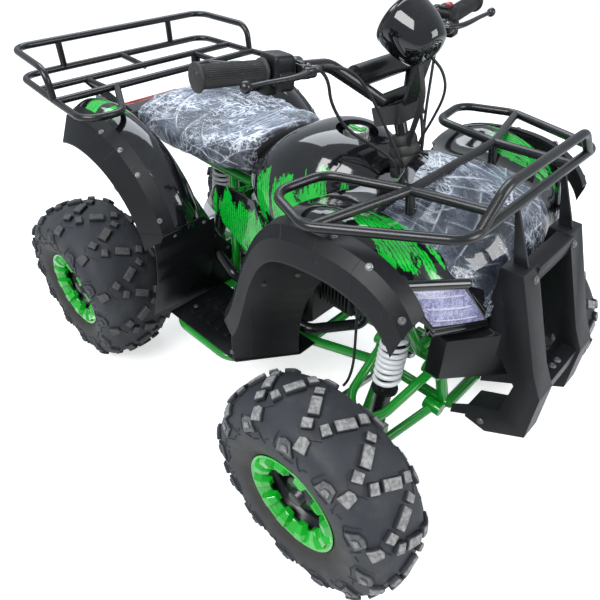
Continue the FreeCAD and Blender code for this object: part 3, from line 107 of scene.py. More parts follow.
def gridFaces(rows, columns, closeRows=False, closeColumns=False, start=0):
    # quads of a rows by columns grid, wrapping round where a side is closed
    i = np.arange(rows if closeRows else rows - 1)
    j = np.arange(columns if closeColumns else columns - 1)
    i, j = np.meshgrid(i, j, indexing="ij")
    nextI = (i + 1) % rows
    nextJ = (j + 1) % columns
    quads = np.stack([i * columns + j, nextI * columns + j, nextI * columns + nextJ, i * columns + nextJ], -1)
    return quads.reshape(-1, 4) + start


def copies(verts, faces, matrices):
    # the same small mesh set down once for each 4 by 4 matrix, as one mesh
    flat = np.concatenate([verts, np.ones((len(verts), 1))], 1)
    placed = np.einsum("nij,vj->nvi", matrices, flat)[..., :3]
    steps = (np.arange(len(matrices)) * len(verts))[:, None, None]
    return placed.reshape(-1, 3), (faces[None] + steps).reshape(-1, faces.shape[1])


def smoothLine(points, rounds=3, closed=False):
    # corner cutting: each side keeps its points at a quarter and three quarters
    line = np.asarray(points, float)
    for _ in range(rounds):
        nextPoint = np.roll(line, -1, 0)
        cut = np.stack([0.75 * line + 0.25 * nextPoint, 0.25 * line + 0.75 * nextPoint], 1)
        if closed:
            line = cut.reshape(-1, line.shape[1])
        else:
            line = np.concatenate([line[:1], cut[:-1].reshape(-1, line.shape[1]), line[-1:]])
    return line


def resample(line, count):
    # points at even steps of length along a line
    steps = np.concatenate([[0], np.cumsum(np.linalg.norm(np.diff(line, axis=0), axis=1))])
    at = np.linspace(0, steps[-1], count)
    return np.stack([np.interp(at, steps, line[:, k]) for k in range(line.shape[1])], 1)


def lineFrames(line, reference):
    # along each point: the run's direction, a side at right angles to the reference, and the third way
    ahead = unit(np.gradient(line, axis=0))
    side = unit(np.cross(ahead, reference))
    return ahead, side, np.cross(side, ahead)


def tubeMesh(line, radii, sides=16, reference=(0.13, 0.21, 0.97)):
    # circles of the given radii across a line, with both ends drawn to a point
    radii = np.broadcast_to(radii, len(line)).astype(float)
    ahead, side, up = lineFrames(line, np.array(reference, float))
    turn = fullTurn(sides)
    ring = np.cos(turn)[None, :, None] * side[:, None] + np.sin(turn)[None, :, None] * up[:, None]
    verts = line[:, None] + ring * radii[:, None, None]
    verts = np.concatenate([np.repeat(line[:1, None], sides, 1), verts, np.repeat(line[-1:, None], sides, 1)])
    return verts.reshape(-1, 3), gridFaces(len(line) + 2, sides, closeColumns=True)


def lathe(profile, sides, centre=(0, 0, 0), axis="y", closed=False):
    # a profile of (along, radius) turned once round an axis through the centre; closed joins its two ends
    turn = fullTurn(sides)
    along = np.repeat(profile[:, :1], sides, 1)
    first = profile[:, 1:] * np.cos(turn)[None]
    second = profile[:, 1:] * np.sin(turn)[None]
    order = {"x": [along, first, second], "y": [second, along, first], "z": [first, second, along]}[axis]
    verts = np.stack(order, -1).reshape(-1, 3) + np.array(centre)
    return verts, gridFaces(len(profile), sides, closeRows=closed, closeColumns=True)


def joinMeshes(parts):
    # several (verts, faces) pairs of quads as one
    offset = np.cumsum([0] + [len(v) for v, f in parts[:-1]])
    return np.concatenate([v for v, f in parts]), np.concatenate([f + o for (v, f), o in zip(parts, offset)])


def turned(angle, axis):
    return np.array(Matrix.Rotation(angle, 4, axis))


def recalcNormals(piece, mergeAt=0.00001):
    # joins doubles and points every face outwards
    shape = bmesh.new()
    shape.from_mesh(piece.data)
    bmesh.ops.remove_doubles(shape, verts=shape.verts, dist=mergeAt)
    bmesh.ops.dissolve_degenerate(shape, edges=shape.edges, dist=mergeAt)
    bmesh.ops.recalc_face_normals(shape, faces=shape.faces)
    shape.to_mesh(piece.data)
    shape.free()


def hullPiece(corners):
    # the closed convex shell round a few corners, as (verts, triangles)
    shape = bmesh.new()
    for corner in corners:
        shape.verts.new(corner)
    bmesh.ops.convex_hull(shape, input=shape.verts)
    bmesh.ops.triangulate(shape, faces=shape.faces)
    loose = [v for v in shape.verts if not v.link_faces]
    bmesh.ops.delete(shape, geom=loose, context="VERTS")
    shape.verts.index_update()
    verts = np.array([v.co[:] for v in shape.verts])
    faces = np.array([[v.index for v in face.verts] for face in shape.faces])
    shape.free()
    return verts, faces


def bevelled(piece, width, segments=1, angle=30):
    modifier = piece.modifiers.new("edges", "BEVEL")
    modifier.width = width
    modifier.segments = segments
    modifier.limit_method = "ANGLE"
    modifier.angle_limit = math.radians(angle)


def walled(piece, thickness):
    # a wall of this thickness behind an open surface
    wall = piece.modifiers.new("wall", "SOLIDIFY")
    wall.thickness = thickness
    wall.offset = -1.0


def cameraRay(pixel):
    # direction from the camera through a pixel of the square photograph
    camera = bpy.context.scene.camera
    focal = cameraSpot["lens"] / cameraSpot["sensor"] * cameraSpot["pixels"]
    middle = cameraSpot["pixels"] / 2
    local = Vector(((pixel[0] - middle) / focal, (middle - pixel[1]) / focal, -1.0))
    return camera.matrix_world.to_3x3() @ local.normalized()


def surfaceTree(names):
    verts = []
    faces = []
    for name in names:
        mesh = nodes.get(name, bpy.data.objects[name]).data
        start = len(verts)
        verts += [v.co[:] for v in mesh.vertices]
        faces += [[start + index for index in polygon.vertices] for polygon in mesh.polygons]
    return BVHTree.FromPolygons(verts, faces)


def seenThrough(pixels, names):
    # where the rays through some pixels first meet the named nodes: places and outward directions
    tree = surfaceTree(names)
    origin = bpy.context.scene.camera.matrix_world.translation
    found = []
    for pixel in pixels:
        ray = cameraRay(pixel)
        place, normal = tree.ray_cast(origin, ray)[:2]
        if place is not None:
            found.append((place[:], (normal if normal.dot(ray) < 0 else -normal)[:]))
    return np.array([spot for spot, way in found]), np.array([way for spot, way in found])


def facing(places, ways, turn=0.0):
    # matrices that put a piece made along plus z at each place, its top looking each way
    side = unit(np.cross(ways, [0.30, 0.10, 0.95]))
    third = np.cross(ways, side)
    matrices = np.tile(np.eye(4), (len(places), 1, 1))
    matrices[:, :3, 0] = side * math.cos(turn) + third * math.sin(turn)
    matrices[:, :3, 1] = np.cross(ways, matrices[:, :3, 0])
    matrices[:, :3, 2] = ways
    matrices[:, :3, 3] = places
    return matrices


# rings as shares of the head's radius and height, from the foot up; the first few are the round flange
boltForm = {"rings": [(1.35, 0.0), (1.35, 0.22), (0.98, 0.34), (1.0, 0.88), (0.86, 1.0), (0.55, 1.0),
                      (0.45, 0.86)],
            "flangeRings": 3, "sides": 12, "flat": 0.11, "sink": 0.002}


def boltShape(head, height):
    # a round flange under a six-sided head with a dished top
    rings = np.array(boltForm["rings"]) * [head, height]
    rings[0, 1] = -boltForm["sink"]
    sides = boltForm["sides"]
    turn = fullTurn(sides)
    sixSided = 1 - boltForm["flat"] * (np.arange(sides) % 2)
    onHead = np.arange(len(rings)) >= boltForm["flangeRings"]
    radius = rings[:, :1] * np.where(onHead[:, None], sixSided, 1.0)
    verts = np.stack([radius * np.cos(turn), radius * np.sin(turn), np.repeat(rings[:, 1:], sides, 1)], -1)
    middle = [[[[0, 0, rings[end, 1]]] * sides] for end in (0, -1)]
    verts = np.concatenate([middle[0], verts, middle[1]])
    return verts.reshape(-1, 3), gridFaces(len(rings) + 2, sides, closeColumns=True)


# Shader helpers

def socketValue(node, name, value):
    if isinstance(value, (int, float, tuple)):
        node.inputs[name].default_value = value
    else:
        node.id_data.links.new(value, node.inputs[name])


def addNode(tree, kind, settings=None, **inputs):
    node = tree.nodes.new(kind)
    for key, value in (settings or {}).items():
        setattr(node, key, value)
    for name, value in inputs.items():
        socketValue(node, name.replace("_", " "), value)
    return node


def mathNode(tree, operation, first, second=0.0, clamp=False):
    node = addNode(tree, "ShaderNodeMath", {"operation": operation, "use_clamp": clamp})
    socketValue(node, 0, first)
    socketValue(node, 1, second)
    return node.outputs[0]


def times(tree, first, second, clamp=False):
    return mathNode(tree, "MULTIPLY", first, second, clamp)


def plus(tree, first, second, clamp=False):
    return mathNode(tree, "ADD", first, second, clamp)


def noiseAt(tree, place, scale, detail, **more):
    node = addNode(tree, "ShaderNodeTexNoise", Vector=place, Scale=scale, Detail=detail, **more)
    return node.outputs["Fac"]


def offMiddle(tree, value):
    # how far a value between 0 and 1 lies from a half, without its sign
    return mathNode(tree, "ABSOLUTE", mathNode(tree, "SUBTRACT", value, 0.5))


def colourMix(tree, factor, first, second):
    node = addNode(tree, "ShaderNodeMix", {"data_type": "RGBA"})
    for socket, value in ((0, factor), (6, first), (7, second)):
        socketValue(node, socket, value)
    return node.outputs[2]


def ramp(tree, factor, low, high):
    # 0 up to low, 1 from high on, with a soft start and end
    node = addNode(tree, "ShaderNodeMapRange", {"interpolation_type": "SMOOTHSTEP"}, Value=factor,
                   From_Min=low, From_Max=high)
    return node.outputs["Result"]


def linkBump(tree, shader, height, strength, distance):
    bump = addNode(tree, "ShaderNodeBump", Height=height, Strength=strength, Distance=distance)
    tree.links.new(bump.outputs[0], shader.inputs["Normal"])


def newGroup(name, inputs, outputs):
    # a node group with a vector or number input for each starting value, and number outputs
    group = bpy.data.node_groups.new(name, "ShaderNodeTree")
    for label, start in inputs.items():
        kind = "NodeSocketVector" if isinstance(start, tuple) else "NodeSocketFloat"
        socket = group.interface.new_socket(label, in_out="INPUT", socket_type=kind)
        socket.default_value = start
    for label in outputs:
        group.interface.new_socket(label, in_out="OUTPUT", socket_type="NodeSocketFloat")
    return group, group.nodes.new("NodeGroupInput").outputs, group.nodes.new("NodeGroupOutput").inputs


def placeGroup(tree, group, **inputs):
    node = tree.nodes.new("ShaderNodeGroup")
    node.node_tree = group
    for name, value in inputs.items():
        socketValue(node, name, value)
    return node


def objectPlace(tree):
    return tree.nodes.new("ShaderNodeTexCoord").outputs["Object"]


def makeGrain():
    # moulded grain: fine noise height, and a slow cloud that varies the roughness
    group, given, out = newGroup("mouldedGrain", {"place": (0, 0, 0), "size": 900.0, "roughness": 0.5,
                                                  "spread": 0.12}, ["height", "roughness"])
    group.links.new(noiseAt(group, given["place"], given["size"], 2.0), out["height"])
    centred = mathNode(group, "SUBTRACT", noiseAt(group, given["place"], 14.0, 5.0), 0.5)
    varied = times(group, centred, times(group, given["spread"], 2.0))
    group.links.new(plus(group, given["roughness"], varied, clamp=True), out["roughness"])
    return group


def makeDust():
    # dust lies on faces that look up, in clouds broken by fine specks
    group, given, out = newGroup("settledDust", {"place": (0, 0, 0), "amount": 0.3, "size": 9.0}, ["mask"])
    normal = group.nodes.new("ShaderNodeNewGeometry").outputs["Normal"]
    upward = addNode(group, "ShaderNodeSeparateXYZ", Vector=normal).outputs["Z"]
    cloud = noiseAt(group, given["place"], given["size"], 6.0, Roughness=0.65)
    speck = noiseAt(group, given["place"], 420.0, 2.0)
    shape = times(group, ramp(group, cloud, 0.35, 0.75), ramp(group, speck, 0.25, 0.7))
    lying = times(group, shape, ramp(group, upward, -0.2, 1.0))
    group.links.new(times(group, lying, given["amount"], clamp=True), out["mask"])
    return group


def makeScratches():
    # hairline scratches: two stretched noises cut to thin lines, gated by a cloud
    group, given, out = newGroup("hairlines", {"place": (0, 0, 0), "amount": 0.5}, ["mask"])
    lines = []
    for stretch in ((260.0, 9.0, 30.0), (12.0, 240.0, 40.0)):
        warped = addNode(group, "ShaderNodeMapping", Vector=given["place"], Scale=stretch)
        noise = noiseAt(group, warped.outputs[0], 1.0, 2.0)
        lines.append(ramp(group, offMiddle(group, noise), 0.008, 0.0))
    gate = noiseAt(group, given["place"], 17.0, 3.0)
    both = mathNode(group, "MAXIMUM", lines[0], lines[1])
    shown = times(group, both, ramp(group, gate, 0.5, 0.68))
    group.links.new(times(group, shown, given["amount"]), out["mask"])
    return group


def makeStrokes():
    # torn strokes: long narrow cells, each either painted or not, with frayed rims, specks and pinstripes
    group, given, out = newGroup("tornStrokes", {"place": (0, 0, 0), "lean": (0, 0, 0), "level": 0.5,
                                                 "size": 12.0}, ["mask"])
    fray = addNode(group, "ShaderNodeTexNoise", Vector=given["place"], Scale=130.0, Detail=4.0, Roughness=0.7)
    offset = addNode(group, "ShaderNodeVectorMath", {"operation": "SCALE"}, Scale=0.010)
    group.links.new(fray.outputs["Color"], offset.inputs[0])
    moved = addNode(group, "ShaderNodeVectorMath", {"operation": "ADD"})
    group.links.new(given["place"], moved.inputs[0])
    group.links.new(offset.outputs[0], moved.inputs[1])
    leaning = addNode(group, "ShaderNodeMapping", Vector=moved.outputs[0], Rotation=given["lean"]).outputs[0]
    narrow = addNode(group, "ShaderNodeMapping", Vector=leaning, Scale=(1.0, 0.35, 0.22))
    cells = addNode(group, "ShaderNodeTexVoronoi", Vector=narrow.outputs[0], Scale=given["size"])
    chance = addNode(group, "ShaderNodeSeparateColor", Color=cells.outputs["Color"]).outputs[0]
    speck = noiseAt(group, given["place"], 95.0, 6.0, Roughness=0.75)
    worn = times(group, mathNode(group, "SUBTRACT", speck, 0.5), 0.9)
    painted = plus(group, mathNode(group, "SUBTRACT", given["level"], chance), worn)
    strokes = ramp(group, painted, -0.02, 0.02)
    across = addNode(group, "ShaderNodeSeparateXYZ", Vector=leaning).outputs["X"]
    phase = mathNode(group, "FRACT", times(group, across, 150.0))
    gate = noiseAt(group, given["place"], 11.0, 0.0)
    lines = times(group, ramp(group, phase, 0.22, 0.18), ramp(group, gate, 0.49, 0.51))
    group.links.new(times(group, strokes, mathNode(group, "SUBTRACT", 1.0, lines)), out["mask"])
    return group


grainGroup = makeGrain()
dustGroup = makeDust()
scratchGroup = makeScratches()
strokeGroup = makeStrokes()
print("quad bike: shader groups made")


def principled(name, colour, roughness, metallic=0.0, coat=0.0, specular=0.5):
    material = bpy.data.materials.new(name)
    material.use_nodes = True
    shader = material.node_tree.nodes["Principled BSDF"]
    start = {"Base Color": (*colour, 1), "Roughness": roughness, "Metallic": metallic, "Coat Weight": coat,
             "Coat Roughness": 0.04, "Specular IOR Level": specular}
    for label, value in start.items():
        shader.inputs[label].default_value = value
    return material, material.node_tree, shader


# what finish takes where a look doesn't say
plainLook = {"metallic": 0.0, "coat": 0.0, "specular": 0.5, "grainSize": 900.0, "spread": 0.1, "bump": 0.1,
             "toneDepth": 0.7, "scratches": 0.3, "scratchColour": (0.3, 0.3, 0.3), "dust": 0.2,
             "dustColour": (0.3, 0.28, 0.25)}


def finish(name, given):
    # one worn surface: grain, dust, hairlines and a slow change of tone over a base colour
    look = {**plainLook, **given}
    base = look["colour"]
    material, tree, shader = principled(name, base, look["roughness"], look["metallic"], look["coat"],
                                        look["specular"])
    place = objectPlace(tree)
    grain = placeGroup(tree, grainGroup, place=place, size=look["grainSize"], roughness=look["roughness"],
                       spread=look["spread"]).outputs
    darker = tuple(part * look["toneDepth"] for part in base) + (1,)
    colour = colourMix(tree, ramp(tree, noiseAt(tree, place, 6.0, 4.0), 0.35, 0.7), (*base, 1), darker)
    lines = placeGroup(tree, scratchGroup, place=place, amount=look["scratches"]).outputs["mask"]
    colour = colourMix(tree, lines, colour, (*look["scratchColour"], 1))
    dust = placeGroup(tree, dustGroup, place=place, amount=look["dust"]).outputs["mask"]
    colour = colourMix(tree, dust, colour, (*look["dustColour"], 1))
    tree.links.new(colour, shader.inputs["Base Color"])
    rough = plus(tree, grain["roughness"], times(tree, dust, 0.5), clamp=True)
    tree.links.new(rough, shader.inputs["Roughness"])
    linkBump(tree, shader, grain["height"], look["bump"], 0.0006)
    return material


looks = {
    "greenPaint": {"colour": (0.004, 0.30, 0.020), "roughness": 0.22, "coat": 0.6, "grainSize": 260.0,
                   "bump": 0.06, "toneDepth": 0.72, "dust": 0.12, "scratches": 0.25,
                   "scratchColour": (0.03, 0.2, 0.04)},
    "satinBlack": {"colour": (0.0085, 0.009, 0.0105), "roughness": 0.25, "grainSize": 700.0, "bump": 0.14,
                   "dust": 0.07, "scratches": 0.25, "scratchColour": (0.06, 0.06, 0.065)},
    "flarePlastic": {"colour": (0.0050, 0.0055, 0.0070), "roughness": 0.42, "grainSize": 1300.0, "bump": 0.35,
                     "specular": 0.30, "toneDepth": 0.8, "dust": 0.07, "dustColour": (0.12, 0.12, 0.125),
                     "scratches": 0.3, "scratchColour": (0.05, 0.05, 0.055)},
    "bumperPlastic": {"colour": (0.0060, 0.0065, 0.0085), "roughness": 0.40, "grainSize": 1100.0,
                      "bump": 0.35, "specular": 0.32, "dust": 0.08, "dustColour": (0.12, 0.12, 0.125),
                      "scratches": 0.35, "scratchColour": (0.06, 0.06, 0.065)},
    "seatVinyl": {"colour": (0.014, 0.014, 0.016), "roughness": 0.42, "grainSize": 620.0, "bump": 0.35,
                  "dust": 0.12},
    "gripRubber": {"colour": (0.012, 0.012, 0.013), "roughness": 0.58, "grainSize": 1500.0, "bump": 0.25},
    "brightSteel": {"colour": (0.50, 0.51, 0.53), "roughness": 0.3, "metallic": 1.0, "scratches": 0.6,
                    "scratchColour": (0.75, 0.75, 0.76), "dust": 0.1},
    "castAluminium": {"colour": (0.020, 0.021, 0.023), "roughness": 0.42, "metallic": 0.3, "grainSize": 420.0,
                      "bump": 0.5, "dust": 0.3, "toneDepth": 0.6},
    "capMetal": {"colour": (0.60, 0.61, 0.58), "roughness": 0.32, "metallic": 0.9, "grainSize": 600.0,
                 "bump": 0.2},
    "springPaint": {"colour": (0.74, 0.76, 0.78), "roughness": 0.3, "coat": 0.3, "grainSize": 400.0,
                    "bump": 0.08, "toneDepth": 0.85, "dust": 0.15, "dustColour": (0.25, 0.24, 0.22)},
    "rimGreen": {"colour": (0.004, 0.43, 0.022), "roughness": 0.12, "coat": 0.7, "grainSize": 120.0,
                 "bump": 0.03, "toneDepth": 0.75, "dust": 0.05, "scratches": 0.1,
                 "scratchColour": (0.03, 0.2, 0.04)},
    "rimBlack": {"colour": (0.004, 0.005, 0.009), "roughness": 0.28, "grainSize": 200.0, "bump": 0.08,
                 "dust": 0.12},
    "boltZinc": {"colour": (0.20, 0.20, 0.21), "roughness": 0.42, "metallic": 0.8},
    "tailLens": {"colour": (0.33, 0.008, 0.008), "roughness": 0.12, "coat": 0.5, "grainSize": 90.0},
    "gloss": {"colour": (0.004, 0.0045, 0.006), "roughness": 0.06, "coat": 0.4, "grainSize": 40.0,
              "bump": 0.02, "dust": 0.05, "scratches": 0.1, "scratchColour": (0.05, 0.05, 0.055),
              "spread": 0.03},
}
paints = {name: finish(name, look) for name, look in looks.items()}


def strokePaint(name, centre, reach, size, lean, level, bothSides=False):
    # gloss black with torn green strokes that thin out away from a middle, or from one on each side
    gloss = looks["gloss"]["colour"]
    material, tree, shader = principled(name, gloss, looks["gloss"]["roughness"], coat=0.5)
    place = objectPlace(tree)
    if bothSides:
        place = addNode(tree, "ShaderNodeVectorMath", {"operation": "ABSOLUTE"}, Vector=place).outputs[0]
    toMiddle = addNode(tree, "ShaderNodeMapping", {"vector_type": "TEXTURE"}, Vector=place,
                       Location=centre, Scale=reach)
    away = addNode(tree, "ShaderNodeVectorMath", {"operation": "LENGTH"})
    tree.links.new(toMiddle.outputs[0], away.inputs[0])
    near = mathNode(tree, "SUBTRACT", level, mathNode(tree, "POWER", away.outputs["Value"], 3.0))
    mask = placeGroup(tree, strokeGroup, place=place, level=near, size=size,
                      lean=tuple(math.radians(part) for part in lean)).outputs["mask"]
    tone = ramp(tree, noiseAt(tree, place, 24.0, 4.0), 0.3, 0.75)
    green = colourMix(tree, tone, (0.004, 0.50, 0.035, 1), (0.003, 0.36, 0.03, 1))
    grain = placeGroup(tree, grainGroup, place=place, size=60.0, roughness=0.09, spread=0.04)
    dust = placeGroup(tree, dustGroup, place=place, amount=0.06, size=8.0).outputs["mask"]
    colour = colourMix(tree, mask, (*gloss, 1), green)
    colour = colourMix(tree, dust, colour, (0.3, 0.3, 0.3, 1))
    tree.links.new(colour, shader.inputs["Base Color"])
    tree.links.new(grain.outputs["roughness"], shader.inputs["Roughness"])
    linkBump(tree, shader, grain.outputs["height"], 0.02, 0.001)
    return material


tankPaint = strokePaint("tankPaint", (0.16, 0.0, 0.66), (0.13, 0.60, 0.10), 42.0, (0, 14, 0), 0.92)
hoodPaint = strokePaint("hoodPaint", (0.455, 0.226, 0.735), (0.150, 0.050, 0.10), 44.0, (0, 0, 80), 0.92,
                        bothSides=True)
sidePaint = strokePaint("sidePaint", (-0.02, 0.0, 0.55), (0.11, 0.60, 0.12), 40.0, (0, -16, 0), 0.95)
rearPaint = strokePaint("rearPaint", (-0.40, 0.0, 0.75), (0.16, 0.60, 0.05), 36.0, (90, 0, 30), 0.66)

nodePaint = {
    "greenPaint": ["frame", "upper_arms", "lower_arms", "rear_fork", "rim_front_right", "rim_front_left",
                   "rim_rear_right", "rim_rear_left"],
    "satinBlack": ["front_shock_bodies", "rear_shock_body", "exhaust", "front_rack", "rear_rack",
                   "steering_column", "handlebar", "knuckle_right", "knuckle_left"],
    "springPaint": ["front_shock_springs", "rear_shock_spring"],
    "flarePlastic": ["front_flares", "front_mud_panels", "rear_flares", "rear_mud_panels", "footboards",
                     "hand_controls"],
    "bumperPlastic": ["bumper"],
    "gloss": ["instrument_pod", "headlights"],
    "seatVinyl": ["seat"],
    "gripRubber": ["grips", "tyre_front_right", "tyre_front_left", "tyre_rear_right", "tyre_rear_left"],
    "brightSteel": ["rear_axle", "tie_rod_right", "tie_rod_left"],
    "castAluminium": ["engine"],
    "capMetal": ["fuel_cap"],
    "tailLens": ["tail_lamp"],
}


paintOf = {node: paints[paintName] for paintName, painted in nodePaint.items() for node in painted}
paintOf.update({"tank_cover": tankPaint, "front_body": hoodPaint, "side_panels": sidePaint,
                "rear_body": rearPaint})
for node, material in paintOf.items():
    nodes[node].data.materials.clear()
    nodes[node].data.materials.append(material)
print("quad bike: finishes on the frame's nodes")

# Tyres: a smooth carcass with tread blocks laid on it

tyreSpecs = {
    "front": {"radius": 0.241, "halfWidth": 0.083, "lugHeight": 0.011, "bead": 0.1042, "y": 0.389, "x": 0.449,
              "z": 0.241, "body": "wheel_front"},
    "rear": {"radius": 0.240, "halfWidth": 0.106, "lugHeight": 0.011, "bead": 0.1042, "y": 0.331, "x": -0.481,
             "z": 0.240, "body": "rear_axle"},
}
# from the bead to the crown: shares of the half width and of the height
sectionShares = [(0.74, 0.00), (0.80, 0.07), (0.95, 0.20), (1.00, 0.44), (0.97, 0.68), (0.82, 0.88),
                 (0.47, 0.98), (0.00, 1.005)]
# the tread's widths are given for a tyre of this half width; block is the points along a block's side
treadSpec = {"halfWidth": 0.083, "pitches": 12, "block": 9, "carcassTurns": 144, "carcassAcross": 61}


def tyreSection(spec):
    # half section from the crown to the bead as (sideways, radius), with its length along the curve
    height = spec["radius"] - spec["lugHeight"] - spec["bead"]
    shares = np.array(sectionShares[::-1])
    line = np.stack([shares[:, 0] * spec["halfWidth"], spec["bead"] + shares[:, 1] * height], 1)
    line = resample(smoothLine(np.concatenate([[[-line[1, 0], line[1, 1]]], line]), 4), 400)
    line = line[line[:, 0] > 0]
    line[0, 0] = 0
    steps = np.concatenate([[0], np.cumsum(np.linalg.norm(np.diff(line, axis=0), axis=1))])
    return line, steps


def onTyre(section, turn, across, height):
    # a point over the carcass: turn round the axle, signed distance across from the crown, height above it
    line, steps = section
    distance = np.abs(across)
    sideways = np.interp(distance, steps, line[:, 0])
    radius = np.interp(distance, steps, line[:, 1])
    slope = unit(np.gradient(line, axis=0))
    outSide = -np.interp(distance, steps, slope[:, 1])
    outRadius = np.interp(distance, steps, slope[:, 0])
    sideways = (sideways + outSide * height) * np.sign(across + 1e-12)
    radius = radius + outRadius * height
    return np.stack([radius * np.sin(turn), sideways, radius * np.cos(turn)], -1)


def treadBlocks(section, blocks):
    # each block: turn (deg), across (mm), length, width (mm), slant (deg), height (mm), house (mm), pinch
    turn, across, length, width, slant, height, house, pinch = np.array(blocks, float).T[..., None, None]
    wall = np.array([0, 1.0, 1.9, 4.2, 0, 4.2, 1.9, 1.0, 0])
    side = np.array([-1, -1, -1, -1, 0, 1, 1, 1, 1])
    level = np.array([-1.6, 0.74, 0.97, 1.0, 1.0, 1.0, 0.97, 0.74, -1.6])
    a = side[None, :, None] * (length / 2 - np.minimum(wall[None, :, None], length / 2.2))
    b = side[None, None, :] * (width / 2 - np.minimum(wall[None, None, :], width / 2.2))
    a, b = np.broadcast_arrays(a, b)
    a = a * (1 - pinch * (b / width + 0.5))
    b = b + house * (0.5 - np.abs(a) / length) * (b > 0)
    rise = np.minimum(level[None, :, None], level[None, None, :])
    rise = np.where(rise < 0, -1.6, rise * height)
    lean = np.radians(slant)
    along = a * np.cos(lean) - b * np.sin(lean)
    over = across + a * np.sin(lean) + b * np.cos(lean)
    line, steps = section
    radius = np.interp(np.abs(over), steps * 1000, line[:, 1] * 1000)
    verts = onTyre(section, np.radians(turn) + along / radius, over / 1000, rise / 1000)
    faces = gridFaces(treadSpec["block"], treadSpec["block"])[None] + blockStarts(len(blocks))[:, None, None]
    top = np.clip((rise / height - 0.8) / 0.2, 0, 1) * np.clip((height - 3) / 7, 0, 1)
    return verts.reshape(-1, 3), faces.reshape(-1, 4), top.reshape(-1)


def blockStarts(count):
    return np.arange(count) * treadSpec["block"] ** 2


def blockFeet(count):
    # the rim of each block's grid as one face, which closes its foot
    grid = np.arange(treadSpec["block"] ** 2).reshape(treadSpec["block"], -1)
    foot = np.concatenate([grid[0], grid[1:, -1], grid[-1, -2::-1], grid[-2:0:-1, 0]])
    return foot[None] + blockStarts(count)[:, None]


def chevronRow(spec):
    # one pitch of the tread: long and short block pairs, shoulder knobs and low side figures
    k = spec["halfWidth"] / treadSpec["halfWidth"]
    h = spec["lugHeight"] * 1000
    return [
        (0.0, -4 * k, 40, 22, -58, h, 0, 0), (3.4, -38 * k, 21, 21, -58, h, 0, 0.1),
        (-4.4, 26 * k, 18, 20, -58, h - 1, 0, 0.1),
        (15.0, 6 * k, 40, 22, 62, h, 0, 0), (18.0, 40 * k, 21, 21, 62, h, 0, 0.1),
        (11.2, -27 * k, 20, 22, 62, h, 0, 0.15),
        (8.0, -70 * k, 28, 22, 10, 9, 9, 0.25), (23.0, 72 * k, 28, 22, 10, 9, 9, 0.25),
        (0.0, -95 * k, 42, 26, 12, 5.5, 12, 0.35), (15.0, 97 * k, 42, 26, -12, 5.5, 12, 0.35),
        (0.6, -94 * k, 20, 12, 12, 8.5, 4, 0.3), (15.6, 96 * k, 20, 12, -12, 8.5, 4, 0.3),
    ]


def sideFigures(spec):
    # thin raised lines: angular frames round the side blocks, short bars by the bead, bows across the tread
    k = spec["halfWidth"] / treadSpec["halfWidth"]
    rows = []
    for sign in (-1, 1):
        base = 0.0 if sign < 0 else 15.0
        rows += [
            (base - 7.6, sign * 92 * k, 3.2, 34, sign * 14, 2.4, 0, 0),
            (base - 5.0, sign * 116 * k, 26, 3.2, sign * 24, 2.4, 0, 0),
            (base + 3.4, sign * 121 * k, 24, 3.2, sign * -14, 2.4, 0, 0),
            (base + 9.4, sign * 104 * k, 3.2, 22, sign * -26, 2.4, 0, 0),
            (base - 3.6, sign * 109 * k, 20, 2.4, sign * 24, 1.8, 0, 0),
            (base + 12.0, sign * 118 * k, 10, 5.0, sign * 30, 2.6, 0, 0),
            (base + 15.5, sign * 108 * k, 14, 3.4, sign * -30, 2.2, 0, 0),
            (base + 2.0, sign * 54 * k, 22, 2.2, sign * 30, 1.4, 0, 0),
            (base + 11.0, sign * 50 * k, 26, 2.2, sign * -35, 1.4, 0, 0),
        ]
    return rows


def outwards(verts, spec, sign):
    # wheel pieces are made with their outer face towards minus y, and the far ones are mirrored
    return verts * [1, -sign, 1] + [spec["x"], sign * spec["y"], spec["z"]]


def makeTyre(name, spec, sign):
    section = tyreSection(spec)
    reach = section[1][-1]
    acrossAt = np.linspace(-reach, reach, treadSpec["carcassAcross"])
    turn, across = np.meshgrid(fullTurn(treadSpec["carcassTurns"]), acrossAt, indexing="ij")
    wave = 0.0005 * np.sin(turn * 12 + across * 90) * (np.abs(across) < 0.06)
    beadRing = 0.0016 * np.exp(-((np.abs(across) - reach + 0.012) / 0.0022) ** 2)
    carcass = onTyre(section, turn, across, wave + beadRing).reshape(-1, 3)
    carcassFaces = gridFaces(*turn.shape, closeRows=True, closeColumns=True)
    pitches = np.arange(treadSpec["pitches"]) * 360.0 / treadSpec["pitches"]
    rows = chevronRow(spec) + sideFigures(spec)
    blocks = [(row[0] + turnBy,) + row[1:] for turnBy in pitches for row in rows]
    lugs, lugFaces, lugTop = treadBlocks(section, blocks)
    verts, faces = joinMeshes([(carcass, carcassFaces), (lugs, lugFaces)])
    feet = blockFeet(len(blocks)) + len(carcass)
    top = np.concatenate([np.zeros(len(carcass)), lugTop])
    side = np.concatenate([np.abs(across).reshape(-1) / reach, np.full(len(lugs), 0.5)])
    piece = meshObject(name, outwards(verts, spec, sign), [faces, feet], tyrePaint[spec["body"]],
                       wheelBody(spec, sign), values={"top": top, "side": side})
    recalcNormals(piece)
    return piece


def wheelBody(spec, sign):
    if spec["body"] == "rear_axle":
        return "rear_axle"
    return "wheel_front_" + ("left" if sign > 0 else "right")


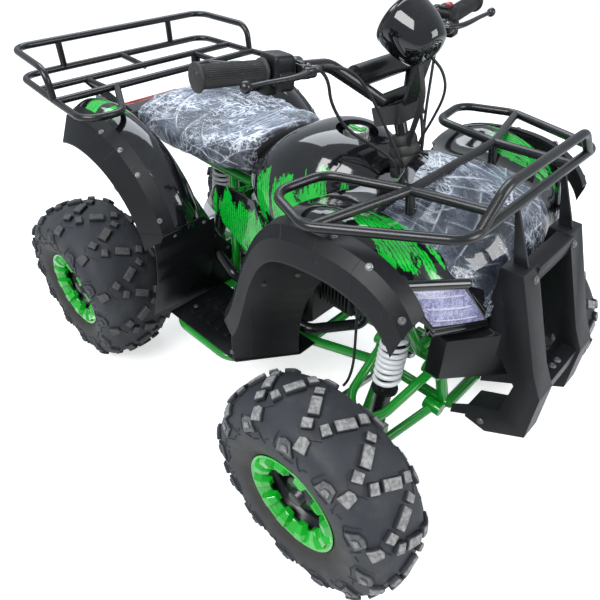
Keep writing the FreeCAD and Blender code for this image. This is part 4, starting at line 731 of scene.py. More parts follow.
def tyreRubber(name, topDustAndSheenTone):
    # bluish black rubber, brownish towards the bead; the block tops are lighter and speckled, partly dust and
    # partly a painted highlight
    material, tree, shader = principled(name, (0.02, 0.02, 0.022), 0.62, specular=0.35)
    place = objectPlace(tree)
    top = addNode(tree, "ShaderNodeAttribute", {"attribute_name": "top"}).outputs["Fac"]
    side = addNode(tree, "ShaderNodeAttribute", {"attribute_name": "side"}).outputs["Fac"]
    brown = ramp(tree, side, 0.55, 0.95)
    base = colourMix(tree, brown, (0.030, 0.033, 0.040, 1), (0.030, 0.027, 0.024, 1))
    cloud = ramp(tree, noiseAt(tree, place, 16.0, 6.0, Roughness=0.7), 0.45, 0.75)
    base = colourMix(tree, times(tree, cloud, 0.5), base, (0.075, 0.074, 0.072, 1))
    speck = ramp(tree, noiseAt(tree, place, 130.0, 6.0, Roughness=0.6), 0.38, 0.62)
    # block tops lightened: speckled dust together with a painted highlight
    dustAndSheen = times(tree, top, plus(tree, 0.45, times(tree, speck, 0.55)))
    base = colourMix(tree, dustAndSheen, base, (topDustAndSheenTone, topDustAndSheenTone * 0.99, topDustAndSheenTone * 0.97, 1))
    tree.links.new(base, shader.inputs["Base Color"])
    grain = placeGroup(tree, grainGroup, place=place, size=700.0, roughness=0.6, spread=0.12).outputs
    rough = plus(tree, grain["roughness"], times(tree, dustAndSheen, 0.25), clamp=True)
    tree.links.new(rough, shader.inputs["Roughness"])
    linkBump(tree, shader, grain["height"], 0.35, 0.0006)
    return material


# the front tyres' block tops are painted much lighter than the rear's: a painted highlight on the lit front
# pair, with dust on both
tyrePaint = {"wheel_front": tyreRubber("tyreFrontRubber", 0.33),
             "rear_axle": tyreRubber("tyreRearRubber", 0.10)}
for end, spec in tyreSpecs.items():
    for sign, sideName in ((-1, "right"), (1, "left")):
        tyrePiece = makeTyre("tyre" + end.capitalize() + sideName.capitalize(), spec, sign)
        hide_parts("tyre_" + end + "_" + sideName)
print("quad bike: tyres made")

# Rims: green dish with twelve faceted lobes round a black centre

rimSpec = {"faceFront": 0.0690, "faceRear": 0.0870, "sides": 128, "lobes": 12, "bolts": 4,
           "boltCircle": 0.055, "boltDepth": 0.0525, "nut": (0.009, 0.010)}
# one half of a lobe's corners: (sideways, radius, towards the outside) in millimetres
lobeHalf = np.array([[15, 105, 0], [11, 99, 8], [8.5, 84, 4], [5, 71, -8], [17, 92, -12], [9, 73, -22],
                     [12, 103, -14]])
lobeCorners = np.stack([lobeHalf * [-1, 1, 1], lobeHalf], 1).reshape(-1, 3) / 1000
# closed outlines of (depth behind the face, radius)
dishOutline = [(0.0040, 0.1035), (0.0010, 0.1085), (-0.0005, 0.1120), (-0.0020, 0.1120), (-0.0028, 0.1100),
               (-0.0020, 0.1065), (0.0010, 0.1040), (0.0035, 0.1000), (0.0080, 0.0940), (0.0130, 0.0885),
               (0.0150, 0.0868), (0.0180, 0.0862), (0.0200, 0.0890), (0.0190, 0.0985), (0.0120, 0.1022)]
centreOutline = [(0.0165, 0.0990), (0.0450, 0.0975), (0.0520, 0.0900), (0.0550, 0.0600), (0.0500, 0.0520),
                 (0.0490, 0.0430), (0.0300, 0.0400), (0.0260, 0.0370), (0.0255, 0.0200), (0.0240, 0.0180),
                 (0.0120, 0.0170), (0.0100, 0.0145), (0.0095, 0.0), (0.0600, 0.0), (0.0620, 0.0900),
                 (0.0560, 0.1010), (0.0165, 0.1015)]


def makeRim(end, spec, sign):
    face = rimSpec["face" + end.capitalize()]
    tag = end.capitalize() + ("Left" if sign > 0 else "Right")
    width = 2 * face
    barrelOutline = [(0.0045, 0.1037), (width - 0.0045, 0.1037), (width - 0.0010, 0.1100), (width, 0.1120),
                     (width + 0.0020, 0.1100), (width - 0.0020, 0.1000), (width - 0.0200, 0.0985),
                     (0.0200, 0.0985)]
    shapes = []
    for label, outline, paint in (("Dish", dishOutline, "rimGreen"), ("Centre", centreOutline, "rimBlack"),
                                  ("Barrel", barrelOutline, "rimGreen")):
        verts, faces = lathe(np.array(outline) + [-face, 0], rimSpec["sides"], closed=True)
        shapes.append((label, verts, faces, paint, True))
    hull, hullFaces = hullPiece(lobeCorners)
    hull = hull[:, [0, 2, 1]] * [1, -1, 1] - [0, face, 0]
    turns = 2 * math.pi * (np.arange(rimSpec["lobes"]) + 0.5) / rimSpec["lobes"]
    verts, faces = copies(hull, hullFaces, np.stack([turned(turn, "Y") for turn in turns]))
    shapes.append(("Lobes", verts, faces, "rimGreen", False))
    nut, nutFaces = boltShape(*rimSpec["nut"])
    angles = 2 * math.pi * (np.arange(rimSpec["bolts"]) + 0.5) / rimSpec["bolts"]
    spots = np.stack([rimSpec["boltCircle"] * np.sin(angles), 0 * angles - face + rimSpec["boltDepth"],
                      rimSpec["boltCircle"] * np.cos(angles)], 1)
    verts, faces = copies(nut, nutFaces, facing(spots, np.tile([0, -1.0, 0], (len(spots), 1))))
    shapes.append(("Nuts", verts, faces, "boltZinc", False))
    for label, verts, faces, paint, smooth in shapes:
        piece = meshObject("rim" + label + tag, outwards(verts, spec, sign), faces, paints[paint],
                           wheelBody(spec, sign), smooth=smooth)
        recalcNormals(piece)
        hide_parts("rim_" + end + "_" + ("left" if sign > 0 else "right"))
        if label == "Lobes":
            bevelled(piece, 0.0009)


for end, spec in tyreSpecs.items():
    for sign in (-1, 1):
        makeRim(end, spec, sign)
print("quad bike: rims made")

# Springs: round wire wound between the damper's seats

springSpec = {"radius": 0.0245, "wire": 0.0052, "turns": 7.5, "from": 0.45, "to": 0.885}


def coilSpring(name, ends, node):
    # a circle's centre runs round the axis while it climbs; the turns lie a little further apart at the ends
    # than in the middle
    spec = springSpec
    low, high = np.array(ends, float)
    foot = low + (high - low) * spec["from"]
    top = low + (high - low) * spec["to"]
    axis = unit(top - foot)
    first = unit(np.cross(axis, [0.0, 1.0, 0.0]))
    second = np.cross(axis, first)
    t = np.linspace(0, 1, 260)
    climb = t + 0.035 * np.sin(2 * math.pi * t)
    angle = 2 * math.pi * spec["turns"] * t
    line = (foot + climb[:, None] * (top - foot)
            + spec["radius"] * (np.cos(angle)[:, None] * first + np.sin(angle)[:, None] * second))
    verts, faces = tubeMesh(line, spec["wire"], 12, reference=axis)
    piece = meshObject(name, verts, faces, paints["springPaint"], "chassis")
    recalcNormals(piece)
    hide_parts(node)


# foot and top of each damper
shocks = {
    "FrontRight": [(0.454, -0.196, 0.262), (0.454, -0.165, 0.530)],
    "FrontLeft": [(0.454, 0.196, 0.262), (0.454, 0.165, 0.530)],
    "Rear": [(-0.316, 0.0, 0.330), (-0.262, 0.0, 0.575)],
}
for tag, ends in shocks.items():
    coilSpring("spring" + tag, ends, "rear_shock_spring" if tag == "Rear" else "front_shock_springs")
print("quad bike: springs made")

# Rounded copies of moulded pieces: the node's own shape with its seams joined and its edges eased

softEdges = {
    "bumper": {"width": 0.0040, "slot": "bumper_plastic"},
    "front_mud_panels": {"width": 0.0015, "slot": "flare_plastic"},
    "rear_mud_panels": {"width": 0.0015, "slot": "flare_plastic"},
    "footboards": {"width": 0.0012, "slot": "flare_plastic"},
    "side_panels": {"width": 0.0018, "slot": "black_gloss_plastic"},
    "engine": {"width": 0.0014, "slot": "engine_aluminium"},
    "tail_lamp": {"width": 0.0050, "slot": "tail_lens"},
}


def softCopy(node, look):
    shape = bmesh.new()
    shape.from_mesh(nodes[node].data)
    bmesh.ops.remove_doubles(shape, verts=shape.verts, dist=0.00003)
    bmesh.ops.dissolve_limit(shape, angle_limit=math.radians(1.0), verts=shape.verts, edges=shape.edges)
    bmesh.ops.recalc_face_normals(shape, faces=shape.faces)
    for face in shape.faces:
        face.smooth = True
    mesh = bpy.data.meshes.new(node + "Eased")
    shape.to_mesh(mesh)
    shape.free()
    mesh.materials.append(paintOf[node])
    piece = placePiece(mesh, "chassis")
    bevelled(piece, look["width"], 2, 25)
    piece.modifiers["edges"].harden_normals = True
    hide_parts(node)


for node, look in softEdges.items():
    softCopy(node, look)
print("quad bike: moulded pieces eased")

# Seams and trim: narrow strips laid on a surface along lines given in the photograph's pixels

flareNodes = ["front_flares", "front_body"]
rearNodes = ["rear_flares", "rear_body"]
trimLines = {
    "flareSeamRear": {"nodes": flareNodes, "pixels": [(279, 217), (281, 232), (277, 248)],
                      "width": 0.0030, "lift": 0.0003, "paint": "gap"},
    "flareSeamMiddle": {"nodes": flareNodes, "pixels": [(317, 238), (314, 248), (312, 264)],
                        "width": 0.0010, "lift": 0.0004, "paint": "gap"},
    "flareSeamFront": {"nodes": flareNodes, "pixels": [(366, 253), (352, 271), (350, 299)],
                       "width": 0.0010, "lift": 0.0004, "paint": "gap"},
    "mudPanelTrim": {"nodes": ["rear_mud_panels"] + rearNodes, "pixels": [(140, 234), (160, 236), (204, 217)],
                     "width": 0.0022, "lift": 0.0012, "paint": "bumperPlastic"},
    "mudPanelSeam": {"nodes": ["front_mud_panels"], "pixels": [(252, 310), (252, 330), (251, 357)],
                     "width": 0.0020, "lift": 0.0003, "paint": "gap"},
    "rearFlareSeamA": {"nodes": rearNodes, "pixels": [(101, 130), (88, 145)],
                       "width": 0.0026, "lift": 0.0003, "paint": "gap"},
    "rearFlareSeamB": {"nodes": rearNodes, "pixels": [(121, 144), (104, 160)],
                       "width": 0.0026, "lift": 0.0003, "paint": "gap"},
    "rearFlareSeamC": {"nodes": rearNodes, "pixels": [(140, 165), (126, 175)],
                       "width": 0.0012, "lift": 0.0003, "paint": "gap"},
}
paints["gap"] = finish("gap", {"colour": (0.0015, 0.0015, 0.0018), "roughness": 0.6, "dust": 0.05,
                               "scratches": 0.05})
mirrorY = np.array([1, -1, 1])
trimPoints = 34
# shares of a strip's width and lift, from one foot to the other
trimProfile = np.array([(-0.5, -0.6), (-0.5, 0.5), (-0.25, 1.0), (0.25, 1.0), (0.5, 0.5), (0.5, -0.6)])


def stripMesh(line, ways, width, lift):
    # a low rounded ridge whose base sits just under the surface
    profile = trimProfile
    count = len(profile)
    ahead = unit(np.gradient(line, axis=0))
    side = unit(np.cross(ahead, ways))
    verts = (line[:, None] + side[:, None] * profile[None, :, :1] * width
             + ways[:, None] * (profile[None, :, 1:] * lift - np.where(profile[None, :, 1:] < 0, 0.0006, 0)))
    middle = verts.mean(1, keepdims=True)
    verts = np.concatenate([np.repeat(middle[:1], count, 1), verts, np.repeat(middle[-1:], count, 1)])
    return verts.reshape(-1, 3), gridFaces(len(line) + 2, count, closeColumns=True)


def trimStrip(name, trim):
    # the strip where the right side shows it, and its mirror on the left
    line, ways = seenThrough(resample(np.array(trim["pixels"], float), trimPoints), trim["nodes"])
    parts = [stripMesh(line, ways, trim["width"], trim["lift"]),
             stripMesh(line * mirrorY, ways * mirrorY, trim["width"], trim["lift"])]
    verts, faces = joinMeshes(parts)
    piece = meshObject(name, verts, faces, paints[trim["paint"]], "chassis")
    recalcNormals(piece)


for name, trim in trimLines.items():
    trimStrip(name, trim)
print("quad bike: seams and trim laid")

# Leg shields: flat guards between fender, side panel and footboard

legShield = {"probe": [(165, 255), (200, 240), (180, 296)], "behind": 0.004, "wall": 0.003,
             "edge": [(158, 240), (172, 233), (188, 226), (204, 214), (211, 226), (222, 238), (236, 248),
                      (250, 258), (250, 286), (232, 286), (205, 299), (172, 313), (157, 318)]}


def makeLegShields():
    # the outline is laid in a plane just behind the rear mud panels, found from three places on them
    probes = seenThrough(legShield["probe"], ["rear_mud_panels"])[0]
    across = unit(np.cross(probes[1] - probes[0], probes[2] - probes[0]))
    if across[0] < 0:
        across = -across
    eye = np.array(bpy.context.scene.camera.matrix_world.translation)
    rays = np.array([cameraRay(pixel)[:] for pixel in smoothLine(legShield["edge"], 2, closed=True)])
    reach = np.dot(probes[0] - across * legShield["behind"] - eye, across) / (rays @ across)
    corners = eye + rays * reach[:, None]
    for sign, tag in ((1, "Right"), (-1, "Left")):
        mesh = bpy.data.meshes.new("legShield" + tag)
        mesh.from_pydata((corners * [1, sign, 1]).tolist(), [], [tuple(range(len(corners)))])
        mesh.materials.append(paints["flarePlastic"])
        piece = placePiece(mesh, "chassis")
        if np.dot(mesh.polygons[0].normal, across * [1, sign, 1]) < 0:
            mesh.flip_normals()
        walled(piece, legShield["wall"])


makeLegShields()
print("quad bike: leg shields made")

# Clear film: creased sheets of thin plastic over the seat and the hood

filmSpec = {"seed": 7, "gap": 0.0035}
filmHighlightColour = (0.78, 0.83, 0.92, 1)


def filmPaint(name, tint, clear, skyReflectionShare, stretches):
    # thin plastic: clear where flat and side-on; its wrinkle lines and crease crests are painted white
    # highlights, it is made milky where it faces up as a painted reflection of the sky, and more opaque
    # towards grazing views as a painted sheen
    material, tree, shader = principled(name, tint, 0.10, specular=0.6)
    place = objectPlace(tree)
    # the crests of the creases, painted as white highlights
    crease = addNode(tree, "ShaderNodeAttribute", {"attribute_name": "crease"}).outputs["Fac"]
    wrinkleHighlightMasks = []
    heights = []
    for stretch in stretches:
        lean = (0.3, 0.2, stretch[0] / 20)
        warped = addNode(tree, "ShaderNodeMapping", Vector=place, Scale=stretch, Rotation=lean)
        heights.append(offMiddle(tree, noiseAt(tree, warped.outputs[0], 1.0, 4.0, Distortion=0.8)))
        wrinkleHighlightMasks.append(ramp(tree, heights[-1], 0.035, 0.0))
    # wrinkle lines painted as white highlights
    line = mathNode(tree, "MAXIMUM", mathNode(tree, "MAXIMUM", wrinkleHighlightMasks[0], wrinkleHighlightMasks[1]), wrinkleHighlightMasks[2])
    line = times(tree, line, ramp(tree, noiseAt(tree, place, 9.0, 3.0), 0.38, 0.62))
    white = mathNode(tree, "MAXIMUM", line, crease, clamp=True)
    tree.links.new(colourMix(tree, white, (*tint, 1), filmHighlightColour), shader.inputs["Base Color"])
    normal = tree.nodes.new("ShaderNodeNewGeometry").outputs["Normal"]
    up = addNode(tree, "ShaderNodeSeparateXYZ", Vector=normal).outputs["Z"]
    # painted reflection of the sky on faces that look up, broken into clouds
    cloud = ramp(tree, noiseAt(tree, place, 6.5, 5.0, Roughness=0.6), 0.36, 0.60)
    skyReflection = times(tree, times(tree, ramp(tree, up, 0.55, 1.0), skyReflectionShare), cloud)
    # painted sheen: more opaque where the film is seen edge-on
    edge = times(tree, addNode(tree, "ShaderNodeLayerWeight", Blend=0.35).outputs["Facing"], 0.35)
    creased = plus(tree, times(tree, crease, 0.42), clear)
    alpha = plus(tree, plus(tree, times(tree, line, 0.34), skyReflection), creased)
    tree.links.new(plus(tree, alpha, edge, clamp=True), shader.inputs["Alpha"])
    linkBump(tree, shader, plus(tree, heights[0], heights[1]), 0.9, 0.006)
    return material


seatFilmPaint = filmPaint("seatFilm", (0.20, 0.24, 0.33), 0.06, 0.45,
                          ((34.0, 12.0, 24.0), (13.0, 46.0, 22.0), (26.0, 22.0, 12.0)))
hoodFilmPaint = filmPaint("hoodFilm", (0.22, 0.27, 0.36), 0.03, 0.30,
                          ((6.0, 60.0, 26.0), (12.0, 30.0, 40.0), (22.0, 26.0, 10.0)))


def creaseField(along, across, count, lengths, widths, heights, seed):
    # sharp folds: each is a ridge round a short random line, as height and as a mask of its crests, which the
    # film paint shows as a painted highlight
    chance = np.random.default_rng(seed)
    lift = np.zeros(along.shape)
    crestHighlight = np.zeros(along.shape)
    for _ in range(count):
        at = np.array([chance.uniform(along.min(), along.max()), chance.uniform(across.min(), across.max())])
        turn = chance.uniform(0, math.pi)
        way = np.array([math.cos(turn), math.sin(turn)])
        run = (along - at[0]) * way[0] + (across - at[1]) * way[1]
        bow = chance.uniform(-2.0, 2.0)
        off = (along - at[0]) * -way[1] + (across - at[1]) * way[0] + bow * run ** 2
        fade = np.exp(-(run / chance.uniform(*lengths)) ** 4)
        near = np.exp(-np.abs(off) / chance.uniform(*widths)) * fade
        lift += near * chance.uniform(*heights)
        crestHighlight = np.maximum(crestHighlight, np.exp(-(off / 0.0016) ** 2) * fade * chance.uniform(0.3, 1.0))
    return lift, crestHighlight


# Seat: a padded body on the CAD seat's stations with a dip for the rider, piping and clear film

seatSpec = {"rear": -0.446, "front": 0.006, "half": 0.172, "low": 0.648, "height": 0.092, "dip": 0.007,
            "dipAt": -0.17, "dipReach": 0.11, "seamAngle": 38, "rows": 120, "sides": 128}
# share of the length from the rear, share of the width, share of the height
seatStations = np.array([(0.00, 0.78, 0.80), (0.12, 0.92, 1.00), (0.30, 0.98, 0.97), (0.45, 1.00, 0.93),
                         (0.80, 0.92, 0.92), (1.00, 0.66, 1.04)])


def power(value, exponent):
    return np.sign(value) * np.abs(value) ** exponent


def seatPlaces(u, turn, grow=0.0):
    # section at u from the rear: a squared ring, broad at the foot, whose ends close in a quarter round
    line = smoothLine(seatStations, 3)
    width = np.interp(u, line[:, 0], line[:, 1])
    top = np.interp(u, line[:, 0], line[:, 2])
    ends = np.clip(np.minimum(u / 0.07, (1 - u) / 0.05), 0, 1)
    rounded = np.sqrt(np.clip(1 - (1 - ends) ** 2, 0, 1))
    half = seatSpec["half"] * width * (0.55 + 0.45 * rounded) * (rounded > 0) - 0.002 + grow
    halfHeight = seatSpec["height"] * top / 2 * rounded + grow
    x = seatSpec["rear"] + 0.003 + (seatSpec["front"] - seatSpec["rear"] - 0.006) * u
    y = half * power(np.cos(turn), 0.55)
    z = seatSpec["low"] + seatSpec["height"] * top / 2 + halfHeight * power(np.sin(turn), 0.62)
    crown = 0.010 * np.clip(np.sin(turn), 0, 1) * (np.abs(y) / seatSpec["half"]) ** 2
    dip = seatSpec["dip"] * np.exp(-((x - seatSpec["dipAt"]) / seatSpec["dipReach"]) ** 2)
    dip = dip * np.clip(np.sin(turn), 0, 1)
    tuck = 0.0016 * np.sin(x * 160 + 2.5 * np.sin(turn * 3)) * np.abs(np.cos(turn)) ** 3
    return np.stack([x, y * (1 + tuck / 0.17), z - crown - dip], -1)


def makeSeat():
    rows, sides = seatSpec["rows"], seatSpec["sides"]
    u, turn = np.meshgrid(np.linspace(0, 1, rows), fullTurn(sides), indexing="ij")
    places = seatPlaces(u, turn)
    middle = places.mean(1, keepdims=True)
    places = np.concatenate([np.repeat(middle[:1], sides, 1), places, np.repeat(middle[-1:], sides, 1)])
    piece = meshObject("seatPad", places.reshape(-1, 3), gridFaces(rows + 2, sides, closeColumns=True),
                       paints["seatVinyl"], "chassis")
    recalcNormals(piece)
    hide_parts("seat")
    seams = []
    for angle in (seatSpec["seamAngle"], 180 - seatSpec["seamAngle"]):
        line = seatPlaces(np.linspace(0.06, 0.95, 160), np.full(160, math.radians(angle)))
        seams.append(tubeMesh(line, 0.0030, 10))
    verts, faces = joinMeshes(seams)
    piping = meshObject("seatPiping", verts, faces, paints["gripRubber"], "chassis")
    recalcNormals(piping)


makeSeat()


def makeSeatFilm():
    u, turn = np.meshgrid(np.linspace(0.015, 0.985, 190), np.radians(np.linspace(-24, 204, 230)),
                          indexing="ij")
    base = seatPlaces(u, turn, filmSpec["gap"])
    lift, crestHighlight = creaseField(u * 0.45, turn * 0.11, 90, (0.03, 0.11), (0.004, 0.011), (0.0006, 0.0042),
                              filmSpec["seed"])
    outward = np.stack([0 * u, np.cos(turn) * 0.8, np.abs(np.sin(turn)) + 0.2], -1)
    points = base + unit(outward) * np.clip(lift, 0, 0.009)[..., None]
    points[..., 2] -= 0.006 * np.clip(-np.sin(turn), 0, 1) * np.sin(u * 40)
    film = meshObject("seatWrap", points.reshape(-1, 3), gridFaces(*u.shape)[:, ::-1], seatFilmPaint,
                      "chassis", values={"crease": crestHighlight})


makeSeatFilm()
print("quad bike: seat and its film made")

# Headlights: a ribbed lens behind milky film, in a dark frame

lampSpec = {"corners": [(0.515, -0.280, 0.706), (0.567, -0.172, 0.680), (0.597, -0.118, 0.592),
                        (0.561, -0.246, 0.632)],
            "bulge": 0.008, "ribs": (0.20, 0.50, 0.80), "ribLift": 0.0028, "frame": 0.0036, "grid": (90, 110),
            "edge": 60, "rim": 240, "rimSides": 10, "ahead": (0.8, -0.5, 0.3)}


def lampPlaces(u, v, lift=0.0):
    # a patch between the four corners that bulges towards the outside; v runs down
    a, b, c, d = (np.array(corner) for corner in lampSpec["corners"])
    u, v = u[..., None], v[..., None]
    flat = (1 - v) * ((1 - u) * a + u * b) + v * ((1 - u) * d + u * c)
    way = unit(np.cross(d - a, b - a))
    way = way * np.sign(way[0])
    return flat + way * (lampSpec["bulge"] * (np.sin(np.pi * u) * np.sin(np.pi * v)) ** 0.6 + lift)


def lampFilmPaint():
    # lilac milky film over the lens on a cloudy ground, with broken white wrinkles and light lines along the
    # ribs painted on as highlights
    material, tree, shader = principled("lampFilm", (0.30, 0.30, 0.52), 0.22, coat=0.5)
    place = objectPlace(tree)
    cloud = ramp(tree, noiseAt(tree, place, 38.0, 7.0, Roughness=0.7), 0.35, 0.65)
    base = colourMix(tree, cloud, (0.12, 0.115, 0.25, 1), (0.27, 0.27, 0.44, 1))
    for scale, thin in ((70.0, 0.05), (24.0, 0.025)):
        distance = offMiddle(tree, noiseAt(tree, place, scale, 5.0, Roughness=0.6, Distortion=1.2))
        mask = times(tree, ramp(tree, distance, thin, 0.0), 0.42)
        base = colourMix(tree, mask, base, (0.62, 0.63, 0.80, 1))
    linkBump(tree, shader, distance, 0.6, 0.004)
    # painted highlight: a light line along each of the ribs
    rib = addNode(tree, "ShaderNodeAttribute", {"attribute_name": "rib"}).outputs["Fac"]
    base = colourMix(tree, times(tree, rib, 0.75), base, (0.80, 0.82, 0.93, 1))
    tree.links.new(base, shader.inputs["Base Color"])
    return material


lensPaint = lampFilmPaint()


def lampRibs(u, v, shift, width):
    # how near each point of the lens lies to one of the ribs, which bow and end before the lens does
    run = np.clip((u - 0.08) / 0.06, 0, 1) * np.clip((0.90 - u) / 0.06, 0, 1)
    bow = 0.03 * np.sin(u * 3)
    return sum(np.exp(-((v - at - bow + shift) / width) ** 2) for at in lampSpec["ribs"]) * run


def lampRim():
    # a tube round the edge of the lens
    edge = np.linspace(0, 1, lampSpec["edge"])
    zero, one = np.zeros(len(edge)), np.ones(len(edge))
    rim = np.concatenate([lampPlaces(edge, zero), lampPlaces(one, edge)[1:], lampPlaces(edge[::-1], one)[1:],
                          lampPlaces(zero, edge[::-1])[1:-1]])
    rim = resample(np.concatenate([rim, rim[:1]]), lampSpec["rim"])[:-1]
    ahead = unit(np.roll(rim, -1, 0) - np.roll(rim, 1, 0))
    side = unit(np.cross(ahead, lampSpec["ahead"]))
    third = np.cross(ahead, side)
    angle = fullTurn(lampSpec["rimSides"])[None, :, None]
    ring = rim[:, None] + (side[:, None] * np.cos(angle) + third[:, None] * np.sin(angle)) * lampSpec["frame"]
    return ring.reshape(-1, 3), gridFaces(len(rim), lampSpec["rimSides"], closeRows=True, closeColumns=True)


def lensWalls(shape, count):
    # quads between the rims of two grids of one size that follow each other
    index = np.arange(count).reshape(shape)
    loop = np.concatenate([index[:, 0], index[-1, 1:], index[::-1, -1][1:], index[0, ::-1][1:-1]])
    following = np.roll(loop, -1)
    return np.stack([loop, following, following + count, loop + count], 1)


def makeLamps():
    rows, columns = lampSpec["grid"]
    count = rows * columns
    u, v = np.meshgrid(np.linspace(0, 1, rows), np.linspace(0, 1, columns), indexing="ij")
    # a narrow band just beside each of the ribs' tops, painted as a highlight
    crestHighlight = lampRibs(u, v, 0.016, 0.008)
    lift = lampRibs(u, v, 0.0, 0.022) * lampSpec["ribLift"]
    front = lampPlaces(u, v, 0.0006) + unit(np.array(lampSpec["ahead"])) * lift[..., None]
    back = lampPlaces(u, v, -0.004)
    lens = np.concatenate([front.reshape(-1, 3), back.reshape(-1, 3)])
    faces = np.concatenate([gridFaces(rows, columns), gridFaces(rows, columns, start=count)[:, ::-1],
                            lensWalls((rows, columns), count)])
    ribHighlightValues = np.concatenate([crestHighlight.reshape(-1), np.zeros(count)])
    ring, ringFaces = lampRim()
    for sign, tag in ((1, "Right"), (-1, "Left")):
        flip = np.array([1, sign, 1])
        piece = meshObject("lampLens" + tag, lens * flip, faces, lensPaint, "chassis",
                           values={"rib": ribHighlightValues})
        recalcNormals(piece)
        frameRing = meshObject("lampFrame" + tag, ring * flip, ringFaces, paints["gloss"], "chassis")
        recalcNormals(frameRing)


makeLamps()
print("quad bike: headlights made")

# Handlebar dress: grips, control boxes, levers and the instrument pod, built along each piece's own axis

gripSpec = {"end": (0.1931, -0.385, 0.9716), "root": (0.2201, -0.128, 0.9436), "radius": 0.0162,
            "flange": 0.0212, "ribs": 34, "ribDepth": 0.0007, "sides": 204, "rings": 28}


def onBar(verts, sign):
    # local (forward, along the bar to the middle, up) to the frame, mirrored for the left side
    end, root = np.array(gripSpec["end"]), np.array(gripSpec["root"])
    along = unit(root - end)
    ahead = unit(np.cross(along, [0.0, 0.0, 1.0]))
    ways = np.stack([ahead, along, np.cross(ahead, along)])
    return (verts @ ways + end) * [1, -sign, 1]


def softBox(centre, half, square=0.28, rows=18, columns=28):
    # a box with rounded edges: a ball whose sines and cosines are raised to a small power
    v, u = np.meshgrid(np.linspace(-math.pi / 2, math.pi / 2, rows), fullTurn(columns), indexing="ij")
    ring = power(np.cos(v), square)
    shape = np.stack([ring * power(np.cos(u), square), ring * power(np.sin(u), square),
                      power(np.sin(v), square)], -1)
    return (shape * half + np.array(centre)).reshape(-1, 3), gridFaces(rows, columns, closeColumns=True)


def ballMesh(centre, radius):
    return softBox(centre, (radius, radius, radius), 1.0, 16, 24)


def handPiece(name, parts, sign, paint, node="hand_controls"):
    verts, faces = joinMeshes(parts)
    piece = meshObject(name + ("Left" if sign > 0 else "Right"), onBar(verts, sign), faces, paints[paint],
                       "handlebar_assembly")
    recalcNormals(piece)
    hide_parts(node)


def gripMesh():
    # a sleeve ribbed lengthwise between two flanges, closed round the bar
    flange, sleeve, sides = gripSpec["flange"], gripSpec["radius"], gripSpec["sides"]
    angle = fullTurn(sides)
    foot = [(0.0000, 0.0), (0.0000, flange * 0.9), (0.0012, flange), (0.0032, flange),
            (0.0045, flange * 0.96), (0.0052, sleeve)]
    ribs = [(0.0060 + 0.004 * k, sleeve + 0.0002) for k in range(gripSpec["rings"])]
    head = [(0.1160, sleeve), (0.1166, flange * 0.93), (0.1190, flange * 0.95), (0.1205, flange * 0.93),
            (0.1212, 0.0112), (0.1212, 0.0)]
    rows = np.array(foot + ribs + head)
    ribbed = np.repeat([0, 1, 0], [len(foot), len(ribs), len(head)])[:, None]
    wave = np.clip(np.sin(angle * gripSpec["ribs"]) * 2.2, -1, 1)[None]
    radius = rows[:, 1:] + ribbed * wave * gripSpec["ribDepth"]
    along = np.repeat(rows[:, :1], sides, 1)
    verts = np.stack([radius * np.cos(angle), along, radius * np.sin(angle)], -1)
    return verts.reshape(-1, 3), gridFaces(len(rows), sides, closeColumns=True)


def barRing(start, end, radius, edge=0.0012, sides=40):
    # a closed sleeve on the bar's axis with eased ends
    profile = np.array([(start, 0.0), (start, radius - edge), (start + edge, radius), (end - edge, radius),
                        (end, radius - edge), (end, 0.0)])
    return lathe(profile, sides, axis="y")


leverLine = [(0.030, 0.186, 0.002), (0.041, 0.172, 0.001), (0.049, 0.150, 0.000), (0.052, 0.120, -0.001),
             (0.053, 0.090, -0.002), (0.056, 0.062, -0.003), (0.060, 0.046, -0.003)]
leverRadii = [(0.0, 0.0072), (0.2, 0.0062), (0.6, 0.0048), (0.9, 0.0046), (1.0, 0.0052)]
leverPoints = 60


def makeLever(sign):
    # a blade, flatter than round, from the hub to a ball at its tip
    line = resample(smoothLine(leverLine, 3), leverPoints)
    radii = np.interp(np.linspace(0, 1, leverPoints), *np.transpose(leverRadii))
    blade, bladeFaces = tubeMesh(line, radii, 16)
    share = (blade[:, 1] - line[0, 1]) / (line[-1, 1] - line[0, 1])
    middle = line[np.clip((share * (leverPoints - 1)).astype(int), 0, leverPoints - 1)]
    blade = middle + (blade - middle) * [1.25, 1.0, 0.8]
    tip = ballMesh(line[-1], 0.0090)
    hub = softBox((0.030, 0.187, 0.001), (0.013, 0.013, 0.0085), 0.5)
    handPiece("lever", [(blade, bladeFaces), tip, hub], sign, "satinBlack")


